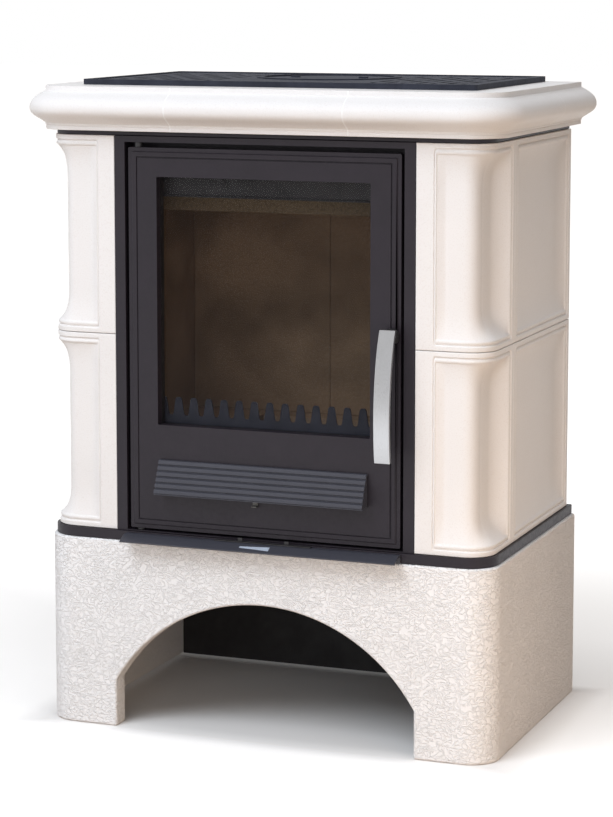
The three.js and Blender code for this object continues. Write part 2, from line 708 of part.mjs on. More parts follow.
function corniceCorner() {
  const frontEnd = -CORNICE_FRONT_JOINT - JOINT / 2;
  const sideEnd = CORNICE_SIDE_JOINT - JOINT / 2;
  const stations = [frontStation(frontEnd), ...cornerStations(9), sideStation(sideEnd)];
  const overlap = 5;
  const near = CORNICE_SWEPT_REACH - overlap;
  const far = CORNICE_FLANGE_REACH;
  return join(
    sweep(corniceSection(CORNICE_SWEPT_REACH), stations, 5),
    corniceLedge(-TILE_HALF + near, frontEnd, FACE + near, FACE + far),
    corniceLedge(-TILE_HALF + near, -TILE_HALF + far, FACE + near, sideEnd),
  );
}

function placeCornice() {
  const section = corniceSection(CORNICE_FLANGE_REACH);
  const lift = (shape) => shape.translate([0, 0, CORNICE_BOTTOM]);
  const frontEdge = CORNICE_FRONT_JOINT - JOINT / 2;
  const rearEdge = CORNICE_SIDE_JOINT + JOINT / 2;
  const centre = sweep(section, [frontStation(frontEdge), frontStation(-frontEdge)], 5);
  const rear = sweep(section, [sideStation(rearEdge), sideStation(CORNICE_REAR_END)], 5);
  place("cornice_front", lift(centre), glaze);
  placePair("cornice_corner", lift(corniceCorner()), glaze);
  placePair("cornice_rear", lift(rear), glaze);
}

function topPlate() {
  const half = TOP_PLATE_HALF;
  const corner = TOP_PLATE_CORNER_RADIUS;
  const edge = roundedRectangle(-half, half, TOP_PLATE_FRONT, TOP_PLATE_REAR, corner);
  const field = roundedRectangle(
    -half + TOP_PLATE_RIM,
    half - TOP_PLATE_RIM,
    TOP_PLATE_FRONT + TOP_PLATE_RIM,
    TOP_PLATE_REAR - TOP_PLATE_RIM,
    TOP_PLATE_FIELD_RADIUS,
  );
  const fieldLevel = PLATE_TOP - TOP_PLATE_FIELD_DEPTH;
  const bossRadius = FLUE_OPENING_RADIUS + TOP_PLATE_RIM;
  const ledge = PLATE_BOTTOM + FLUE_LEDGE_THICKNESS;
  const disc = (radius, z0, z1) => rodUp(0, FLUE_CENTRE_Y, radius, z0, z1, FLUE_SIDES);
  const sunk = upright(field, fieldLevel, PLATE_TOP + CUT, 3).subtract(
    disc(bossRadius, fieldLevel - CUT, PLATE_TOP + 2 * CUT),
  );
  return cut(
    upright(edge, PLATE_BOTTOM, PLATE_TOP, 3),
    sunk,
    disc(FLUE_LEDGE_RADIUS, PLATE_BOTTOM - CUT, PLATE_TOP + CUT),
    disc(FLUE_OPENING_RADIUS, ledge, PLATE_TOP + CUT),
    ...ventSlots(),
  );
}

// Rows of slots either side of the flue opening, every second column set half a pitch on.
function ventSlots() {
  const slots = [];
  const clear = FLUE_OPENING_RADIUS + 2 * TOP_PLATE_RIM + VENT_SLOT_WIDTH;
  const limitX = TOP_PLATE_HALF - TOP_PLATE_RIM - VENT_SLOT_WIDTH;
  const firstY = TOP_PLATE_FRONT + 2 * TOP_PLATE_RIM;
  const lastY = TOP_PLATE_REAR - 2 * TOP_PLATE_RIM;
  for (let column = 0; clear + column * VENT_SLOT_PITCH_X <= limitX; column++) {
    const x = clear + column * VENT_SLOT_PITCH_X;
    const shift = column % 2 ? VENT_SLOT_PITCH_Y / 2 : 0;
    for (let y = firstY + shift; y + VENT_SLOT_LENGTH <= lastY; y += VENT_SLOT_PITCH_Y) {
      slots.push(ventSlot(x, y), ventSlot(-x, y));
    }
  }
  return slots;
}

function ventSlot(x, y) {
  const half = VENT_SLOT_WIDTH / 2;
  const shape = roundedRectangle(x - half, x + half, y, y + VENT_SLOT_LENGTH, half * 0.6);
  return upright(shape, PLATE_BOTTOM - CUT, PLATE_TOP + CUT, 1);
}

// Flat disc on the ledge of the flue opening, with two small lifting lugs.
function flueLid() {
  const bottom = PLATE_BOTTOM + FLUE_LEDGE_THICKNESS + GAP;
  const top = bottom + FLUE_LID_THICKNESS;
  const radius = FLUE_OPENING_RADIUS - FLUE_LID_CLEARANCE;
  const disc = rodUp(0, FLUE_CENTRE_Y, radius, bottom, top, FLUE_SIDES);
  const x = LID_LUG_WIDTH / 2;
  const y = LID_LUG_THICKNESS / 2;
  const front = FLUE_CENTRE_Y - y;
  const back = FLUE_CENTRE_Y + y;
  const lugTop = top + LID_LUG_HEIGHT;
  const lug = (middle) => block(middle - x, middle + x, front, back, bottom + CUT, lugTop);
  return join(disc, lug(LID_LUG_OUT), lug(-LID_LUG_OUT));
}

// ---- Surround, sill and air sliders ----------------------------------------------------------
function fireboxMouth(y0, y1) {
  return block(-SEAT_HALF, SEAT_HALF, y0, y1, DOOR_BOTTOM + SEAT_BORDER, DOOR_TOP - SEAT_BORDER);
}

function surroundFrame() {
  const bottom = DECK;
  const top = TILES_TOP;
  const seatBack = SEAT_FRONT + FRAME_SHEET;
  const innerHalf = FRAME_INNER;
  const openingTop = FRAME_OPENING_TOP;
  const openingBottom = FRAME_OPENING_BOTTOM;
  const face = block(-FRAME_HALF, FRAME_HALF, FACE, FACE + FRAME_SHEET, bottom, top);
  const sleeve = block(
    -innerHalf - FRAME_SHEET,
    innerHalf + FRAME_SHEET,
    FACE + FRAME_SHEET - CUT,
    seatBack,
    bottom,
    openingTop + FRAME_SHEET,
  );
  const pocket = block(-innerHalf, innerHalf, FACE - CUT, SEAT_FRONT, openingBottom, openingTop);
  const throat = fireboxMouth(SEAT_FRONT - CUT, seatBack + CUT);
  const pin = (z0, z1) => rodUp(HINGE_X, HINGE_Y, HINGE_PIN_RADIUS + GAP, z0, z1);
  return cut(
    join(face, sleeve),
    pocket,
    throat,
    pin(bottom - CUT, openingBottom + CUT),
    pin(openingTop - CUT, openingTop + FRAME_SHEET + CUT),
  );
}

// Bent lip under the door: flat at the back, then falling to a rounded front edge, with two
// air slots that the primary slider covers.
function sill() {
  const rear = SILL_REAR;
  const high = SILL_LEVEL;
  const low = high - SILL_DROP;
  const t = SILL_THICKNESS;
  const section = outline([
    [rear, high],
    [rear - SILL_FLAT, high],
    [-SILL_REACH + SILL_EDGE_ROUND, low],
    [-SILL_REACH, low - t / 2],
    [-SILL_REACH + SILL_EDGE_ROUND, low - t],
    [rear - SILL_FLAT, high - t],
    [rear - t, high - t],
    [rear - t, TRAY_BOTTOM],
    [rear, TRAY_BOTTOM],
  ]);
  const half = FRAME_HALF - SILL_END_INSET;
  const slotY = primaryBarY();
  const y = SILL_SLOT_WIDTH / 2;
  const slotAt = (offset) => {
    const start = PRIMARY_CENTRE_X + offset - SILL_SLOT_LENGTH / 2;
    return block(start, start + SILL_SLOT_LENGTH, slotY - y, slotY + y, high - t - CUT, high + CUT);
  };
  return cut(
    fromSide(section, -half, half),
    slotAt(-SILL_SLOT_SPACING / 2),
    slotAt(SILL_SLOT_SPACING / 2),
    sillMark(GAP),
  );
}

// Wedge set flush in the sill's sloping face, to show which way the air slider opens.
function sillMark(clearance) {
  const rear = SILL_REAR - SILL_FLAT;
  const front = -SILL_REACH + SILL_EDGE_ROUND;
  const slope = Math.atan2(SILL_DROP, rear - front);
  const end = SILL_MARK_LENGTH / 2 + clearance;
  const short = SILL_MARK_SHORT / 2 + clearance;
  const tall = SILL_MARK_TALL / 2 + clearance;
  const depth = SILL_MARK_DEPTH;
  const shape = outline([
    [-end, -short],
    [end, -tall],
    [end, tall],
    [-end, short],
  ]);
  const made = extrusion(shape, depth + (clearance ? CUT + clearance : 0));
  made.translate(0, 0, -depth - clearance);
  made.rotateX(slope);
  return solid(made.translate(SILL_MARK_X, (rear + front) / 2, SILL_LEVEL - SILL_DROP / 2));
}

function primaryBarY() {
  return SILL_REAR - SILL_FLAT / 2;
}

function primaryAirSlider() {
  const front = primaryBarY() - PRIMARY_BAR_WIDTH / 2;
  const back = front + PRIMARY_BAR_WIDTH;
  const bottom = SILL_LEVEL + GAP;
  const left = PRIMARY_CENTRE_X - PRIMARY_BAR_LENGTH / 2;
  const right = left + PRIMARY_BAR_LENGTH;
  const bar = block(left, right, front, back, bottom, bottom + SLIDER_SHEET);
  const tabTop = DOOR_BOTTOM - PRIMARY_TAB_CLEARANCE;
  const tab = (offset) => {
    const x = PRIMARY_CENTRE_X + offset - PRIMARY_TAB_WIDTH / 2;
    return block(x, x + PRIMARY_TAB_WIDTH, back - PRIMARY_TAB_SHEET, back, bottom, tabTop);
  };
  return join(bar, tab(-PRIMARY_TAB_SPACING / 2), tab(PRIMARY_TAB_SPACING / 2));
}

// Pin through the surround into the door, with a collar that fills the slit between them.
function hingePin(z0, z1, slitBottom, slitTop) {
  const pin = rodUp(HINGE_X, HINGE_Y, HINGE_PIN_RADIUS, z0, z1);
  const collarRadius = HINGE_PIN_RADIUS + HINGE_COLLAR;
  return join(pin, rodUp(HINGE_X, HINGE_Y, collarRadius, slitBottom + GAP, slitTop - GAP));
}

function placeHingePins() {
  const pinTop = DOOR_BOTTOM + HINGE_PIN_REACH;
  const bottomPin = hingePin(DECK, pinTop, FRAME_OPENING_BOTTOM, DOOR_BOTTOM);
  const lintel = FRAME_OPENING_TOP + FRAME_SHEET;
  const topPin = hingePin(DOOR_TOP - HINGE_PIN_REACH, lintel, DOOR_TOP, FRAME_OPENING_TOP);
  place("hinge_pin_bottom", bottomPin, brightSteel);
  place("hinge_pin_top", topPin, brightSteel);
}

// ---- Door ------------------------------------------------------------------------------------
function doorPlate(inset, y0, y1) {
  const shape = roundedRectangle(
    -DOOR_HALF + inset,
    DOOR_HALF - inset,
    DOOR_BOTTOM + inset,
    DOOR_TOP - inset,
    DOOR_CORNER_RADIUS,
  );
  return fromFront(shape, y0, y1, 2);
}

// Narrow groove round the panel, which leaves a bead between it and the door's lower rim.
function doorGroove() {
  const inset = DOOR_RIM + DOOR_BEAD;
  const bottom = DOOR_BOTTOM + inset;
  const top = DOOR_TOP - inset;
  const depth = FACE + DOOR_RIM_DROP;
  return frontRing(DOOR_HALF - inset, bottom, top, DOOR_GROOVE, FACE - CUT, depth);
}

function doorCasting() {
  const layers = join(
    doorPlate(0, FACE + DOOR_RIM_DROP, DOOR_BACK),
    doorPlate(DOOR_RIM, FACE, DOOR_BACK - CUT),
  );
  const window = roundedRectangle(
    -WINDOW_HALF,
    WINDOW_HALF,
    WINDOW_BOTTOM,
    WINDOW_TOP,
    WINDOW_CORNER_RADIUS,
  );
  const hollow = block(
    -SEAT_HALF,
    SEAT_HALF,
    FACE + DOOR_PANEL_THICKNESS,
    DOOR_BACK + CUT,
    DOOR_BOTTOM + SEAT_BORDER,
    WINDOW_BOTTOM - 2 * RETAINER_LAP,
  );
  const bore = HINGE_PIN_RADIUS + HINGE_BORE_CLEARANCE;
  const depth = HINGE_PIN_REACH + HINGE_BORE_END;
  return cut(
    layers,
    doorGroove(),
    fromFront(window, FACE - CUT, DOOR_BACK + CUT, 2),
    hollow,
    rodUp(HINGE_X, HINGE_Y, bore, DOOR_BOTTOM - CUT, DOOR_BOTTOM + depth),
    rodUp(HINGE_X, HINGE_Y, bore, DOOR_TOP - depth, DOOR_TOP + CUT),
    rodBack(HANDLE_X, HANDLE_PIVOT_Z, SPINDLE_RADIUS + GAP, FACE - CUT, DOOR_BACK + CUT),
    ...doorAirSlots(),
  );
}

// Air slots through the panel behind the louvre, above the height of the secondary slider's tab.
function doorAirSlots() {
  const pitch = (2 * SECONDARY_PLATE_HALF) / DOOR_SLOTS;
  const bottom = SECONDARY_PLATE_BOTTOM + (SECONDARY_PLATE_HEIGHT - DOOR_SLOT_HEIGHT) / 2;
  const top = bottom + DOOR_SLOT_HEIGHT;
  const slots = [];
  for (let i = 0; i < DOOR_SLOTS; i++) {
    const x = (i - (DOOR_SLOTS - 1) / 2) * pitch - DOOR_SLOT_LENGTH / 2;
    slots.push(block(x, x + DOOR_SLOT_LENGTH, FACE - CUT, DOOR_BACK + CUT, bottom, top));
  }
  return slots;
}

function doorGlass() {
  const half = WINDOW_HALF + GLASS_LAP;
  const bottom = WINDOW_BOTTOM - GLASS_LAP;
  const top = WINDOW_TOP + GLASS_LAP;
  return block(-half, half, GLASS_FRONT, GLASS_BACK, bottom, top);
}

// Frame that clamps the glass, with a rim that reaches to the back of the door round it.
function glassRetainer() {
  const half = WINDOW_HALF + RETAINER_LAP;
  const bottom = WINDOW_BOTTOM - RETAINER_LAP;
  const top = WINDOW_TOP + RETAINER_LAP;
  const back = RETAINER_FRONT + RETAINER_THICKNESS;
  return join(
    frontRing(half, bottom, top, RETAINER_LAP - CUT, RETAINER_FRONT, back),
    frontRing(half, bottom, top, RETAINER_RIM, DOOR_BACK + GAP, back),
  );
}

// Rope seal on the back of the door, pressed against the seat of the surround.
function doorSeal() {
  const spread = SEAL_INSET + SEAL_WIDTH;
  const bottom = DOOR_BOTTOM + SEAT_BORDER - spread;
  const top = DOOR_TOP - SEAT_BORDER + spread;
  return frontRing(SEAT_HALF + spread, bottom, top, SEAL_WIDTH, DOOR_BACK + GAP, SEAT_FRONT - GAP);
}

// Side view of the louvre: it leaves the door at the top and stands off it at the foot.
function louvreRib(index) {
  const pitch = LOUVRE_HEIGHT / LOUVRE_RIBS;
  const top = LOUVRE_TOP - index * pitch;
  const rearTop = FACE - GAP - (LOUVRE_REACH * index) / LOUVRE_RIBS;
  const slope = LOUVRE_REACH / LOUVRE_RIBS;
  const t = LOUVRE_RIB_THICKNESS;
  const section = outline([
    [rearTop - t, top],
    [rearTop, top - 0.4 * t],
    [rearTop - 0.2 * slope, top - 0.45 * pitch],
    [rearTop - slope, top - pitch],
    [rearTop - slope - t, top - 0.86 * pitch],
    [rearTop - slope - t, top - 0.5 * pitch],
  ]);
  return fromSide(section, -LOUVRE_HALF, LOUVRE_HALF);
}

function louvreGrille() {
  const back = FACE - GAP;
  const cheekShape = outline([
    [back, LOUVRE_TOP - LOUVRE_CHEEK_TOP],
    [back - LOUVRE_REACH, LOUVRE_BOTTOM + LOUVRE_CHEEK_EDGE],
    [back - LOUVRE_REACH, LOUVRE_BOTTOM],
    [back, LOUVRE_BOTTOM],
  ]);
  const cheek = (x) => fromSide(cheekShape, x, x + LOUVRE_CHEEK);
  const pieces = [cheek(-LOUVRE_HALF), cheek(LOUVRE_HALF - LOUVRE_CHEEK)];
  for (let i = 0; i < LOUVRE_RIBS; i++) pieces.push(louvreRib(i));
  return join(...pieces);
}

// Flat valve plate behind the louvre, with its tab hanging below the grille.
function secondaryAirSlider() {
  const back = FACE - GAP;
  const front = back - SLIDER_SHEET;
  const bottom = SECONDARY_PLATE_BOTTOM;
  const half = SECONDARY_PLATE_HALF;
  const left = SECONDARY_TAB_X - SECONDARY_TAB_WIDTH / 2;
  const right = left + SECONDARY_TAB_WIDTH;
  const tabBottom = LOUVRE_BOTTOM - SECONDARY_TAB_DROP;
  const gripTop = tabBottom + SECONDARY_GRIP_HEIGHT;
  return join(
    block(-half, half, front, back, bottom, bottom + SECONDARY_PLATE_HEIGHT),
    block(left, right, front, back, tabBottom, bottom + CUT),
    block(left, right, front - SECONDARY_GRIP_REACH, back, tabBottom, gripTop),
  );
}

// ---- Handle and latch ------------------------------------------------------------------------
// Side view: a flat bar that leaves its boss at the top, bows out and comes back a little.
function handleLever() {
  const top = HANDLE_PIVOT_Z + HANDLE_RISE;
  const foot = HANDLE_PIVOT_Z - HANDLE_DROP;
  const third = (top - foot) / 3;
  const upper = top - third * HANDLE_UPPER_BOW_LEVEL;
  const lower = foot + third;
  const outer = [HANDLE_TOP_REACH, HANDLE_UPPER_BOW, HANDLE_LOWER_BOW, HANDLE_END_REACH];
  const front = outer.map((reach) => FACE - reach);
  const back = front.map((y) => y + HANDLE_THICKNESS);
  const shape = new THREE.Shape();
  shape.moveTo(front[0], top);
  shape.bezierCurveTo(front[1], upper, front[2], lower, front[3], foot);
  shape.lineTo(back[3], foot);
  shape.bezierCurveTo(back[2], lower, back[1], upper, back[0], top);
  const half = HANDLE_WIDTH / 2;
  return fromSide(shape, HANDLE_X - half, HANDLE_X + half, 10);
}

function handleSpindle() {
  const bossFront = FACE - HANDLE_TOP_REACH + SPINDLE_SEAT_OVERLAP;
  const boss = rodBack(HANDLE_X, HANDLE_PIVOT_Z, SPINDLE_BOSS_RADIUS, bossFront, FACE - GAP);
  const seated = boss.subtract(handleLever().translate([0, GAP, 0]));
  const shaftEnd = DOOR_BACK + GAP + CAM_THICKNESS + SPINDLE_END;
  const shaft = rodBack(HANDLE_X, HANDLE_PIVOT_Z, SPINDLE_RADIUS, FACE - CUT, shaftEnd);
  return join(seated, shaft);
}

// Nose of the latch: it points to the side of the surround and turns down as the handle lifts.
function latchCam() {
  const y0 = DOOR_BACK + GAP;
  const y1 = y0 + CAM_THICKNESS;
  const half = CAM_HEIGHT / 2;
  const bottom = HANDLE_PIVOT_Z - half;
  const top = HANDLE_PIVOT_Z + half;
  const end = KEEPER_RIGHT - KEEPER_WIDTH + LATCH_LAP;
  const nose = outline([
    [HANDLE_X - half, bottom],
    [HANDLE_X + half, bottom],
    [end - CAM_POINT, bottom + CAM_POINT],
    [end, top],
    [HANDLE_X - half, top],
  ]);
  const hub = rodBack(HANDLE_X, HANDLE_PIVOT_Z, CAM_HUB_RADIUS, y0, y1);
  const bore = rodBack(HANDLE_X, HANDLE_PIVOT_Z, SPINDLE_RADIUS + GAP, y0 - CUT, y1 + CUT);
  return join(fromFront(nose, y0, y1), hub).subtract(bore);
}

// Catch block on the side of the surround, just above the nose of the latch.
function latchKeeper() {
  const left = KEEPER_RIGHT - KEEPER_WIDTH;
  const bottom = HANDLE_PIVOT_Z + CAM_HEIGHT / 2 + LATCH_CLEARANCE;
  const y0 = DOOR_BACK + GAP + LATCH_CLEARANCE;
  return block(left, KEEPER_RIGHT, y0, y0 + KEEPER_DEPTH, bottom, bottom + KEEPER_HEIGHT);
}

// ---- Steel body ------------------------------------------------------------------------------
// Floor and both side walls, folded from one sheet.
function bodyCasing() {
  const w = BODY_WALL;
  const front = BODY_FRONT + GAP;
  const floor = block(-BODY_HALF, BODY_HALF, front, BODY_REAR, DECK, DECK + w);
  const wall = (x) => block(x, x + w, front, BODY_REAR, DECK, BODY_TOP);
  return join(floor, wall(-BODY_HALF), wall(BODY_HALF - w));
}

function insideCasing(y0, y1, z0, z1) {
  const half = BODY_HALF - BODY_WALL - GAP;
  return block(-half, half, y0, y1, z0, z1);
}

function bodyFront() {
  const y0 = BODY_FRONT + GAP;
  const y1 = y0 + BODY_WALL;
  const panel = insideCasing(y0, y1, DECK + BODY_WALL + GAP, BODY_TOP);
  return panel.subtract(fireboxMouth(y0 - CUT, y1 + CUT));
}

function bodyBack() {
  const y0 = BODY_REAR - BODY_WALL;
  const panel = insideCasing(y0, BODY_REAR, DECK + BODY_WALL + GAP, BODY_TOP);
  const hole = FLUE_TUBE_RADIUS - FLUE_TUBE_WALL;
  return panel.subtract(rodBack(0, SPIGOT_Z, hole, y0 - CUT, BODY_REAR + CUT));
}

function bodyTop() {
  const z0 = BODY_TOP - BODY_WALL;
  const panel = insideCasing(LINING_FRONT, BODY_REAR - BODY_WALL - GAP, z0, BODY_TOP);
  const hole = FLUE_TUBE_RADIUS - FLUE_TUBE_WALL;
  return panel.subtract(rodUp(0, FLUE_CENTRE_Y, hole, z0 - CUT, BODY_TOP + CUT));
}

// Shelf under the hearth bricks, open below the grate.
function hearthShelf() {
  const z0 = SHELF_TOP - SHELF_THICKNESS;
  const shelf = insideCasing(LINING_FRONT, BODY_REAR - BODY_WALL - GAP, z0, SHELF_TOP);
  const x = GRATE_WIDTH / 2 - SHELF_LEDGE;
  const y = GRATE_DEPTH / 2 - SHELF_LEDGE;
  return shelf.subtract(
    block(-x, x, GRATE_CENTRE_Y - y, GRATE_CENTRE_Y + y, z0 - CUT, SHELF_TOP + CUT),
  );
}

// Flue tube with a flange at the end where it starts.
function tube(make, from, to) {
  const t = FLUE_TUBE_WALL;
  const outside = make(FLUE_TUBE_RADIUS, from, to);
  const flange = make(FLUE_TUBE_RADIUS + FLUE_FLANGE, from, from + t);
  const bore = make(FLUE_TUBE_RADIUS - t, from - CUT, to + CUT);
  return join(outside, flange).subtract(bore);
}

function flueCollar() {
  const make = (radius, z0, z1) => rodUp(0, FLUE_CENTRE_Y, radius, z0, z1, TUBE_SIDES);
  return tube(make, BODY_TOP + GAP, PLATE_BOTTOM - FLUE_COLLAR_CLEARANCE);
}

function rearSpigot() {
  const make = (radius, y0, y1) => rodBack(0, SPIGOT_Z, radius, y0, y1, TUBE_SIDES);
  return tube(make, BODY_REAR + GAP, SPIGOT_REAR_END);
}

// Sheet across the back, with rows of slots where convection air enters and leaves.
function rearCover() {
  const y0 = TILE_REAR_END + GAP;
  const y1 = y0 + REAR_COVER_THICKNESS;
  const half = TILE_HALF - REAR_COVER_MARGIN;
  const sheet = block(-half, half, y0, y1, DECK, TILES_TOP);
  const hole = rodBack(0, SPIGOT_Z, FLUE_TUBE_RADIUS + GAP, y0 - CUT, y1 + CUT, TUBE_SIDES);
  const slots = [];
  for (let row = 0; row < REAR_SLOT_ROWS; row++) {
    const bottom = DECK + REAR_SLOT_RISE + row * REAR_SLOT_ROW_PITCH;
    const top = bottom + REAR_SLOT_HEIGHT;
    for (let i = 0; i < REAR_SLOT_COUNT; i++) {
      const x = (i - (REAR_SLOT_COUNT - 1) / 2) * REAR_SLOT_PITCH - REAR_SLOT_WIDTH / 2;
      slots.push(block(x, x + REAR_SLOT_WIDTH, y0 - CUT, y1 + CUT, bottom, top));
    }
  }
  return cut(sheet, hole, ...slots);
}

// Steel rail between the rear ends of the cornice, carrying the back edge of the top plate.
function rearRail() {
  const half = TILE_HALF - CORNICE_FLANGE_REACH - GAP;
  const y1 = TILE_REAR_END - SPACER_INSET;
  const y0 = TOP_PLATE_REAR - RAIL_LAP;
  const foot = CORNICE_BOTTOM;
  const t = RAIL_SHEET;
  const wall = block(-half, half, y1 - t, y1, foot, CORNICE_TOP);
  const shelf = block(-half, half, y0, y1, CORNICE_TOP - t, CORNICE_TOP);
  const flange = block(-half, half, y1 - RAIL_FOOT, y1, foot, foot + t);
  return join(wall, shelf, flange);
}

// ---- Lining, grate and ash pan ---------------------------------------------------------------
function sideBrick(y0, y1) {
  const inner = -HEARTH_HALF_WIDTH;
  return block(inner - BRICK_THICKNESS, inner, y0, y1, BRICK_BOTTOM, BRICK_TOP);
}

function placeLining() {
  const split = (LINING_FRONT + BACK_BRICK_REAR) / 2;
  const side = HEARTH_HALF_WIDTH - GAP;
  placePair("side_brick_front", sideBrick(LINING_FRONT, split - GAP / 2), fireclay);
  placePair("side_brick_rear", sideBrick(split + GAP / 2, BACK_BRICK_REAR), fireclay);
  const z = HEARTH_LEVEL + GAP;
  const backBrick = block(-side, -GAP / 2, HEARTH_REAR, BACK_BRICK_REAR, z, BRICK_TOP);
  placePair("back_brick", backBrick, fireclay);
  const grateHalf = GRATE_WIDTH / 2;
  const grateFront = GRATE_CENTRE_Y - GRATE_DEPTH / 2;
  const front = grateFront - GAP;
  const back = grateFront + GRATE_DEPTH + GAP;
  const floorBrick = (x0, x1, y0, y1) => block(x0, x1, y0, y1, BRICK_BOTTOM, HEARTH_LEVEL);
  const sideFloor = floorBrick(-side, -grateHalf - GAP, LINING_FRONT, BACK_BRICK_REAR);
  placePair("floor_brick", sideFloor, fireclay);
  const frontFloor = floorBrick(-grateHalf, grateHalf, LINING_FRONT, front);
  place("floor_brick_front", frontFloor, fireclay);
  const backFloor = floorBrick(-grateHalf, grateHalf, back, BACK_BRICK_REAR);
  place("floor_brick_back", backFloor, fireclay);
}

// Board over the fire that sends the smoke forward. It rests on the side and back bricks.
function baffle() {
  const half = HEARTH_HALF_WIDTH + BRICK_THICKNESS - BAFFLE_SIDE_CLEARANCE;
  const bottom = BRICK_TOP + GAP;
  return block(-half, half, BAFFLE_FRONT, BACK_BRICK_REAR, bottom, bottom + BAFFLE_THICKNESS);
}

function grate() {
  const x = GRATE_WIDTH / 2;
  const y0 = GRATE_CENTRE_Y - GRATE_DEPTH / 2;
  const y1 = GRATE_CENTRE_Y + GRATE_DEPTH / 2;
  const bottom = BRICK_BOTTOM;
  const top = bottom + GRATE_THICKNESS;
  const frame = block(-x, x, y0, y1, bottom, top);
  const pitch = (GRATE_WIDTH - 2 * GRATE_BAR) / GRATE_BARS;
  const slots = [];
  for (let i = 0; i < GRATE_BARS; i++) {
    const left = -x + GRATE_BAR + i * pitch + GRATE_BAR / 2;
    const right = left + pitch - GRATE_BAR;
    slots.push(block(left, right, y0 + 2 * GRATE_BAR, y1 - 2 * GRATE_BAR, bottom - CUT, top + CUT));
  }
  return cut(frame, ...slots);
}

function ashPan() {
  const half = ASH_PAN_WIDTH / 2;
  const y0 = LINING_FRONT + ASH_PAN_SETBACK;
  const y1 = y0 + ASH_PAN_DEPTH;
  const z0 = DECK + BODY_WALL + GAP;
  const z1 = z0 + ASH_PAN_HEIGHT;
  const w = ASH_PAN_WALL;
  const box = block(-half, half, y0, y1, z0, z1);
  const room = block(-half + w, half - w, y0 + w, y1 - w, z0 + w, z1 + CUT);
  const gripHalf = ASH_PAN_GRIP_WIDTH / 2;
  const gripBottom = z1 - ASH_PAN_GRIP_DROP;
  const gripTop = gripBottom + ASH_PAN_GRIP_SHEET;
  const front = y0 - ASH_PAN_GRIP_REACH;
  return join(cut(box, room), block(-gripHalf, gripHalf, front, y0 + w / 2, gripBottom, gripTop));
}

// Toothed plate on the back of the glass retainer, which keeps the logs off the glass.
function logComb() {
  const base = WINDOW_BOTTOM - RETAINER_LAP / 2;
  const valley = WINDOW_BOTTOM + COMB_VALLEY_RISE;
  const tip = valley + COMB_TOOTH_HEIGHT;
  const end = (COMB_TEETH * COMB_PITCH) / 2;
  // Half widths of a tooth, as shares of the pitch, at the heights where its outline turns.
  const tooth = [
    [0.39, valley],
    [0.33, valley + COMB_FILLET],
    [0.21, tip - COMB_TIP_ROUND],
    [0.12, tip],
  ];
  const points = [
    [-end, base],
    [end, base],
    [end, valley],
  ];
  for (let i = COMB_TEETH - 1; i >= 0; i--) {
    const x = (i - (COMB_TEETH - 1) / 2) * COMB_PITCH;
    for (const [share, z] of tooth) points.push([x + share * COMB_PITCH, z]);
    for (const [share, z] of [...tooth].reverse()) points.push([x - share * COMB_PITCH, z]);
  }
  points.push([-end, valley]);
  const back = BEHIND_RETAINER + COMB_THICKNESS;
  const half = WINDOW_HALF + GLASS_LAP;
  const plate = fromFront(outline(points), BEHIND_RETAINER, back);
  return plate.intersect(block(-half, half, BEHIND_RETAINER, back, base, tip));
}

// Strip behind the top of the window that leads washing air down the glass.
function airDeflector() {
  const half = WINDOW_HALF + GLASS_LAP;
  const back = BEHIND_RETAINER + DEFLECTOR_SHEET;
  const low = WINDOW_TOP - DEFLECTOR_HEIGHT;
  const strip = block(-half, half, BEHIND_RETAINER, back, low, WINDOW_TOP + RETAINER_LAP);
  const lipFront = BEHIND_RETAINER - DEFLECTOR_LIP;
  const lipTop = low + DEFLECTOR_SHEET;
  return join(strip, block(-WINDOW_HALF, WINDOW_HALF, lipFront, back, low, lipTop));
}

// ---- Assembly --------------------------------------------------------------------------------
place("plinth", plinth(), texturedRender);
place("wood_store_back_panel", storeBackPanel(), darkSteel);
place("base_tray", baseTray(), blackPaint);
placeTiles();
place("spacer_frame", spacerFrame(), blackPaint);
placeCornice();
place("top_plate", topPlate(), castIron);
place("flue_lid", flueLid(), castIron);
place("surround_frame", surroundFrame(), blackPaint);
place("sill", sill(), blackPaint);
place("sill_mark", sillMark(0), brightSteel);
place("primary_air_slider", primaryAirSlider(), darkSteel);
placeHingePins();
place("door_casting", doorCasting(), blackPaint);
place("door_glass", doorGlass(), windowGlass);
place("glass_retainer", glassRetainer(), darkSteel);
place("door_seal", doorSeal(), rope);
place("louvre_grille", louvreGrille(), blackPaint);
place("secondary_air_slider", secondaryAirSlider(), brightSteel);
place("handle_lever", handleLever(), brightSteel);
place("handle_spindle", handleSpindle(), darkSteel);
place("latch_cam", latchCam(), darkSteel);
place("latch_keeper", latchKeeper(), darkSteel);
place("body_casing", bodyCasing(), darkSteel);
place("body_front", bodyFront(), darkSteel);
place("body_back", bodyBack(), darkSteel);
place("body_top", bodyTop(), darkSteel);
place("hearth_shelf", hearthShelf(), darkSteel);
place("flue_collar", flueCollar(), darkSteel);
place("rear_flue_spigot", rearSpigot(), darkSteel);
place("rear_cover", rearCover(), darkSteel);
place("rear_rail", rearRail(), darkSteel);
placeLining();
place("baffle", baffle(), vermiculite);
place("grate", grate(), castIron);
place("ash_pan", ashPan(), darkSteel);
place("log_comb", logComb(), castIron);
place("air_deflector", airDeflector(), darkSteel);

const bounds = new THREE.Box3().setFromObject(stove);
stove.position.y = -(bounds.min.y + bounds.max.y) / 2;

const part = new THREE.Group();
part.add(stove);
export default part;
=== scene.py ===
"""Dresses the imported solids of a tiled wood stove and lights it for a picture."""
import json
import math
from operator import mul

import bmesh
import bpy
from bpy.props import FloatProperty, FloatVectorProperty, IntProperty, PointerProperty
from mathutils import Matrix, Vector


